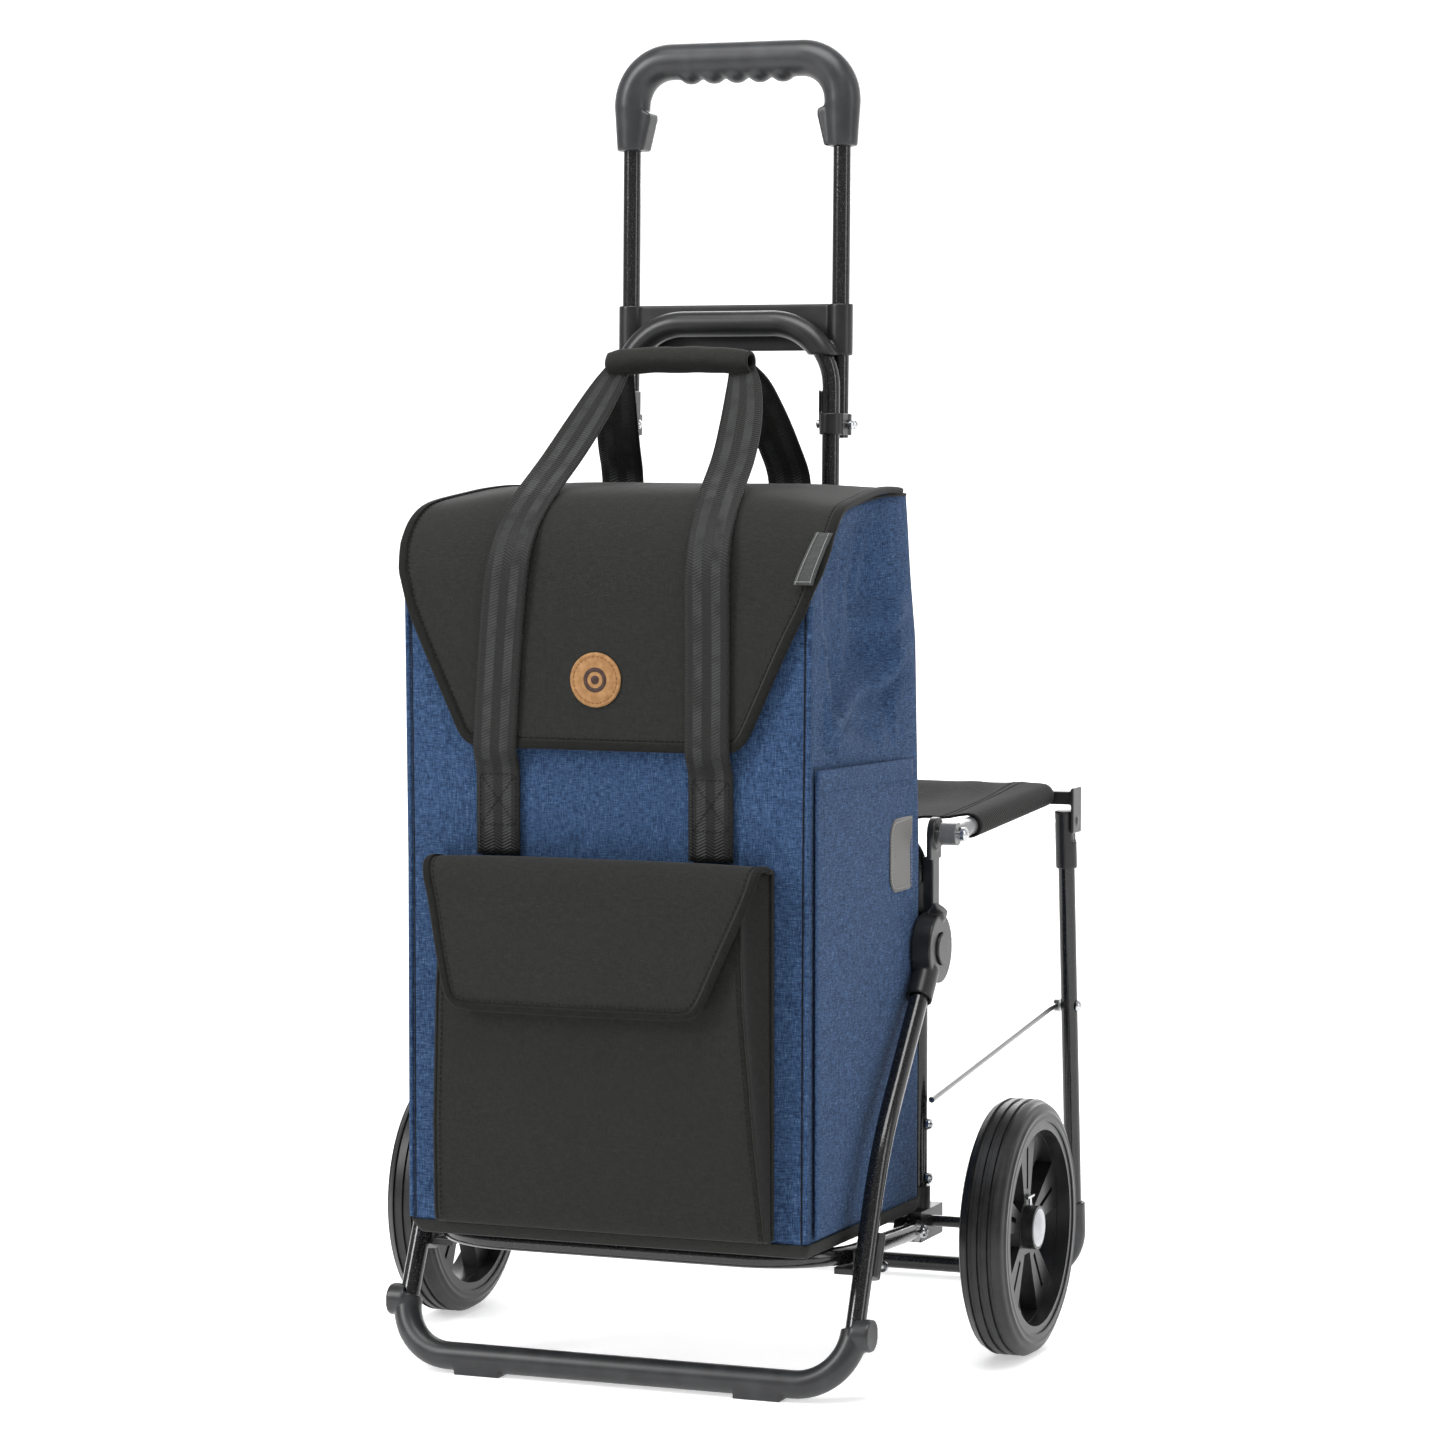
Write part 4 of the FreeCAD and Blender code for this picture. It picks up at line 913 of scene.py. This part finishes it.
FLAP_PROFILE = [(-0.2572, 0.4004), (-0.2690, 0.4040), (-0.2830, 0.4022), (-0.2890, 0.3920),
                (-0.2922, 0.3700), (-0.2972, 0.3300), (-0.3020, 0.2905)]
FLAP_HALF = [(0.2905, 0.0850), (0.2915, 0.0920), (0.2940, 0.0975), (0.2990, 0.1020), (0.3060, 0.1055),
             (0.3880, 0.1325), (0.4042, 0.1348)]
low_end = [(-0.3010, z) for z in (0.303, 0.2995, 0.2965, 0.2940, 0.2920, 0.2905)]
line = [(y, z) for y, z in flow_flat(FLAP_PROFILE, 5.0 * MM) if z > 0.3065] + low_end
flap_rows = []
for y, z in line:
    half = between(FLAP_HALF, z)
    row = []
    for column in range(49):
        share = 2 * column / 48 - 1
        point = Vector((half * share - 8 * MM * ease(0.405, 0.29, z), y, z))
        point.y += 2.6 * MM * abs(share) ** 3 * ease(0.41, 0.36, z)
        point.y -= 0.8 * MM * math.cos(share * math.pi * 1.5) * ease(0.36, 0.29, z)
        point.y += ripple(Vector((point.x, 21, z)), 0.06, 1.1 * MM) * ease(0.40, 0.37, z)
        point.z -= 2.0 * MM * abs(share) ** 4 * ease(0.39, 0.403, z)
        row.append(point)
    flap_rows.append(row)
flap = grid("pocket_lid", flap_rows, BLACK)
thicken(flap, 2.0 * MM, 1.0)
place(flap, "pocket_flap", ["pocket_flap"])


def away_from_pocket(point):
    return point - Vector((point.x * 0.6, -0.22, 0.34))


bind(flap_rows, away_from_pocket, "pocket_flap", ("pocket_lid_tape", "pocket_lid_stitches"), 0.85, 2.0, 7.6)


# ---- carry straps
def strap(name, points, widths, dished=0.6):
    """Webbing along points, slightly dished across its width."""
    smooth = flow([point + (width,) for point, width in zip(points, widths)], 5.0 * MM)
    line, rows = [Vector(point[:3]) for point in smooth], []
    for index, (x, y, z, width) in enumerate(smooth):
        along = heading(line, index)
        across = Vector((1, 0, 0)) - along * along.x
        across.normalize()
        normal = along.cross(across).normalized()
        row = []
        for column in range(13):
            share = column / 12 - 0.5
            dish = dished * MM * (0.25 - share * share) * 4 * ease(0.68, 0.72, z)
            row.append(Vector((x, y, z)) + across * (share * width) + normal * dish)
        rows.append(row)
    piece = grid(name, rows, MATERIALS["webbing"])
    return thicken(piece, 1.7 * MM, 0)


# Each pair of straps runs through (y, z, width) at x on the right and x on the left, all in millimetres.
STRAPS = {
    "front": [(-256.6, 403.5, 35, 86, -86), (-256.8, 440, 35, 86, -86), (-257.4, 468, 35, 86, -86),
              (-263.2, 480, 35, 86, -85.6), (-264.6, 492, 35, 86, -85), (-264.8, 560, 35, 86.4, -80.6),
              (-264.6, 612, 35, 86, -76), (-258.8, 636, 35, 85, -73.8), (-246.4, 654, 35, 83.4, -72.2),
              (-226, 671.5, 35, 80.5, -70), (-180, 701, 34.5, 73.5, -66.8), (-146, 728, 33, 66, -62.4),
              (-120, 753, 28, 58, -57), (-108, 768, 21, 52, -52)],
    "rear": [(-29.9, 592, 35, 62, -80), (-29.9, 640, 35, 62, -80), (-30.2, 672, 35, 62, -80),
             (-34.5, 690, 35, 61.6, -79), (-52, 711, 35, 60.2, -74.4), (-70, 733, 33.5, 58, -68),
             (-90, 757, 28, 55, -59), (-102, 769, 21, 51, -51)]}
for label, course in STRAPS.items():
    for column, (_, side) in enumerate(SIDES, 3):
        points = [(point[column] * MM, point[0] * MM, point[1] * MM) for point in course]
        piece = strap(f"{label}_strap_{side}", points, [point[2] * MM for point in course])
        place(piece, "root", [f"{label}_carry_strap"] if side == "right" else [])

sewn = []
STRAP_APART, SEWN_HALF, SEWN_FACE = 0.086, 14.5 * MM, -0.2580
SEWN_FOOT, CROSS_FOOT, SEWN_TOP = 0.408, 0.426, 0.464


def sewn_line(start, end):
    """Stitches straight from one (x, z) to another on the sewn-down end of a strap."""
    start, end = Vector((start[0], SEWN_FACE, start[1])), Vector((end[0], SEWN_FACE, end[1]))
    stations = [(start + (end - start) * i / 8, Vector((1, 0, 0)), FORWARD) for i in range(9)]
    return stitches("sewn", stations, 0.0, 0.2 * MM, THREAD, 3.4 * MM, 2.4 * MM, 0.3 * MM)


for sign in (-1, 1):
    near, far = sign * STRAP_APART - SEWN_HALF, sign * STRAP_APART + SEWN_HALF
    for start, end in (((near, SEWN_FOOT), (near, SEWN_TOP)), ((far, SEWN_FOOT), (far, SEWN_TOP)),
                       ((near, SEWN_TOP), (far, SEWN_TOP)), ((near, CROSS_FOOT), (far, CROSS_FOOT)),
                       ((near, CROSS_FOOT), (far, SEWN_TOP)), ((far, CROSS_FOOT), (near, SEWN_TOP))):
        sewn.append(sewn_line(start, end))
place(join("strap_stitches", sewn), "root")

WRAP_HALF, WRAP_RADIUS, WRAP_Y, WRAP_Z = 0.0590, 10.4 * MM, -0.1060, 0.7765
wrap_rows = []
for index in range(49):
    share = 2 * index / 48 - 1
    x = WRAP_HALF * share
    droop = 3.2 * MM * abs(share) ** 3
    swell = 1.0 - 0.10 * ease(0.86, 1.0, abs(share))
    row = []
    for step in range(28):
        angle = 2 * math.pi * step / 28
        radius = WRAP_RADIUS * swell
        radius += ripple(Vector((x, math.cos(angle) * 0.02, math.sin(angle) * 0.02 + 3)), 0.016, 0.7 * MM)
        lapped = (angle - 4.1) / 1.2
        radius += 1.1 * MM * ease(0.0, 0.25, lapped) * (1 - ease(0.8, 1.0, lapped))
        row.append(Vector((x, WRAP_Y + radius * 1.04 * math.cos(angle),
                           WRAP_Z - droop + radius * 0.92 * math.sin(angle))))
    wrap_rows.append(row)
wrap = grid("handle_sleeve", wrap_rows, BLACK, ring=True)
thicken(wrap, 2.2 * MM)
place(wrap, "root", ["handle_wrap"])

# ---- hanger loops on the back
loop_low, loop_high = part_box("bag_hangers")
MAST_APART, LOOP_RADIUS = 0.088, 8.4 * MM
WING = ((15.5 * MM, BAG_BACK + 1.2 * MM), (9.5 * MM, BAG_BACK + 2.0 * MM))
hanger_parts = []
for sign in (-1, 1):
    tube_x, tube_y = MAST_APART * sign, (loop_high.y + loop_low.y) / 2 + 4.2 * MM
    plan = [(tube_x - reach, y) for reach, y in WING]
    for step in range(13):
        angle = math.radians(200 - 220 * step / 12)
        plan.append((tube_x + LOOP_RADIUS * math.cos(angle), tube_y + LOOP_RADIUS * math.sin(angle)))
    plan += [(tube_x + reach, y) for reach, y in reversed(WING)]
    rows = [[Vector((x, y, loop_low.z + (loop_high.z - loop_low.z) * i / 6)) for i in range(7)]
            for x, y in plan]
    hanger_parts.append(thicken(grid(f"hanger_{sign}", rows, MATERIALS["webbing"]), 1.3 * MM, 0))
place(join("hanger_loops", hanger_parts), "root", ["bag_hangers"])

# ---- seat sling
SEAT_HALF, SEAT_TILT = 0.184, math.radians(3.1)
SEAT_ORIGIN = Vector((0, 0.003, 0.406))
SEAT_DEEP = Vector((0, math.cos(SEAT_TILT), math.sin(SEAT_TILT)))
SEAT_UP = Vector((0, -math.sin(SEAT_TILT), math.cos(SEAT_TILT)))
TUNNEL, TUNNEL_STEPS, WEB_STEPS = 8.8 * MM, 14, 48
WEB_HALF = SEAT_HALF - 2 * MM
sling_rows = []
for index in range(41):
    share_deep = index / 40
    deep = 0.0470 + 0.1920 * share_deep
    section = []
    for step in range(TUNNEL_STEPS):
        angle = math.radians(215 + 235 * step / TUNNEL_STEPS)
        section.append((SEAT_HALF + TUNNEL * math.cos(angle), TUNNEL * math.sin(angle)))
    web = []
    for step in range(WEB_STEPS + 1):
        share = 1 - 2 * step / WEB_STEPS
        sag = 11 * MM * (1 - abs(share) ** 2.4) * (1 - 0.92 * ease(0.55, 1.0, share_deep))
        crease = 1.3 * MM * math.sin(26 * share + 3 * share_deep) * ease(0.45, 0.95, abs(share))
        web.append((WEB_HALF * share, 9.0 * MM - sag + crease * (1 - abs(share) ** 12)))
    full = section + web + [(-x, h) for x, h in reversed(section)]
    pull = 14 * MM * (1 - ease(0, 0.5, share_deep)) + 3 * MM * ease(0.5, 1.0, share_deep)
    row = []
    for x, height in full:
        inner = 1 - (min(abs(x), SEAT_HALF) / SEAT_HALF) ** 2
        wobble = ripple(Vector((x, deep, height + 2)), 0.03, 0.7 * MM)
        point = SEAT_ORIGIN + SEAT_DEEP * (deep + pull * inner) + SEAT_UP * (height + wobble * inner)
        point.x = x
        row.append(point)
    sling_rows.append(row)
sling = grid("seat_cloth", sling_rows, MATERIALS["sling_cloth"])
thicken(sling, 1.8 * MM, 0)
place(sling, "seat", ["seat_sling"], folds=False)
sling_seams = []
for sign in (-1, 1):
    for inset in (15, 21):
        steps_in = round((1 - (SEAT_HALF - inset * MM) / WEB_HALF) * WEB_STEPS / 2)
        column = TUNNEL_STEPS + (steps_in if sign > 0 else WEB_STEPS - steps_in)
        stations = [(row[column], Vector((1, 0, 0)), SEAT_UP) for row in sling_rows]
        sling_seams.append(stitches(f"sling_seam_{sign}_{inset}", stations, 0.0, 1.15 * MM))
place(join("sling_stitches", sling_seams), "seat", folds=False)


# ---- mouldings with softened edges
def moulded(node, voxel, rounds, folds=False):
    """A CAD moulding with its edges and joins softened, as a new piece in its place."""
    source = NODES[node]
    mesh = bmesh.new()
    mesh.from_mesh(source.data)
    bmesh.ops.remove_doubles(mesh, verts=mesh.verts, dist=2e-6)
    data = bpy.data.meshes.new(node + "_soft")
    mesh.to_mesh(data)
    mesh.free()
    data.materials.append(MATERIALS[SLOTS[node]])
    made = link(node + "_soft", data)
    remesh = made.modifiers.new("remesh", "REMESH")
    remesh.mode, remesh.voxel_size = "VOXEL", voxel
    soft = made.modifiers.new("soften", "SMOOTH")
    soft.factor, soft.iterations = 0.5, rounds
    bake(made)
    body = next(name for name, members in BODIES.items() if node in members)
    return place(made, body, [node], folds)


HUB_Y, HUB_Z, HUB_FACE = -0.018, 0.318, 0.184
RECESS_RADIUS, RECESS_FLOOR, RECESS_DEPTH = 12.8 * MM, 11.6 * MM, 5.2 * MM


def reopen_recess(obj):
    """Give the release button its round recess back after softening."""
    for vertex in obj.data.vertices:
        y, z = vertex.co.y - HUB_Y, vertex.co.z - HUB_Z
        away = math.hypot(y, z)
        if abs(vertex.co.x) > HUB_FACE - RECESS_DEPTH and away < RECESS_RADIUS:
            if away < RECESS_FLOOR:
                vertex.co.x = math.copysign(HUB_FACE - RECESS_DEPTH, vertex.co.x)
            else:
                vertex.co.y = HUB_Y + y * RECESS_RADIUS / away
                vertex.co.z = HUB_Z + z * RECESS_RADIUS / away


# Each moulding's node, its grain in millimetres and its rounds of smoothing.
MOULDINGS = [("bag_floor_board", 1.0, 2), ("pull_grip", 1.3, 9), ("mast_bracket", 1.0, 4),
             ("leg_caps", 0.9, 4)]
for side in ("left", "right"):
    MOULDINGS += [(f"seat_corner_bracket_{side}", 0.8, 6), (f"arm_hub_{side}", 0.9, 4),
                  (f"slider_{side}", 0.7, 2), (f"platform_clamp_{side}", 0.7, 3)]
MOULDINGS += [("foot_bumper", 1.2, 4), ("leg_bumpers", 1.1, 3), ("hub_brackets", 0.8, 3),
              ("seat_hinges", 0.8, 3)]
for node, voxel, rounds in MOULDINGS:
    piece = moulded(node, voxel * MM, rounds, folds=node == "bag_floor_board")
    if node.startswith("arm_hub"):
        reopen_recess(piece)

# ---- floor, light and camera
FLOOR_HALF, BEND_START, BEND = 9.0, 1.2, 2.6
bend = [(BEND_START + BEND * math.sin(math.radians(a)), BEND - BEND * math.cos(math.radians(a)))
        for a in range(6, 91, 6)]
floor_line = [(-FLOOR_HALF, 0.0), (-1.0, 0.0), (BEND_START, 0.0), *bend, (BEND_START + BEND, FLOOR_HALF)]
floor = grid("floor", [[Vector((FLOOR_HALF * (i / 6 - 1), y, z)) for i in range(13)] for y, z in floor_line],
             FLOOR)

SKY_LIGHT, SKY_SEEN = 0.34, 1.0
world = bpy.data.worlds.new("studio")
world.use_nodes = True
sky = world.node_tree.nodes["Background"]
sky.inputs["Color"].default_value = (1, 1, 1, 1)
seen = world.node_tree.nodes.new("ShaderNodeMapRange")
seen.inputs["To Min"].default_value = SKY_LIGHT
seen.inputs["To Max"].default_value = SKY_SEEN
rays = world.node_tree.nodes.new("ShaderNodeLightPath")
world.node_tree.links.new(rays.outputs["Is Camera Ray"], seen.inputs["Value"])
world.node_tree.links.new(seen.outputs["Result"], sky.inputs["Strength"])
scene = bpy.context.scene
scene.world = world
scene.view_settings.view_transform = "Standard"


def softbox(name, spot, aim, wide, high, watts):
    """A rectangular soft light aimed at a point."""
    data = bpy.data.lights.new(name, "AREA")
    data.shape, data.size, data.size_y, data.energy = "RECTANGLE", wide, high, watts
    lamp = link(name, data)
    lamp.location = spot
    lamp.rotation_mode = "QUATERNION"
    lamp.rotation_quaternion = (Vector(aim) - Vector(spot)).to_track_quat("-Z", "Y")


softbox("key", (-2.2, -2.6, 2.3), (0, 0, 0.6), 1.0, 2.0, 92)
softbox("side", (3.2, -0.4, 1.6), (0, 0, 0.5), 0.9, 2.2, 20)
softbox("top", (0.2, -0.8, 2.6), (0, 0, 0.5), 1.8, 1.2, 50)
softbox("back", (-0.6, 2.8, 1.8), (0, 0, 0.5), 2.0, 1.6, 40)

camera = link("camera", bpy.data.cameras.new("camera"))
camera.data.sensor_width, camera.data.lens = 36.0, 110.95
camera.location = (1.3067, -3.2936, 0.7169)
camera.rotation_mode = "QUATERNION"
target = Vector((-0.0071, 0.0, 0.4892))
camera.rotation_quaternion = (target - camera.location).to_track_quat("-Z", "Y")
camera.data.clip_start, camera.data.clip_end = 0.05, 60
scene.camera = camera
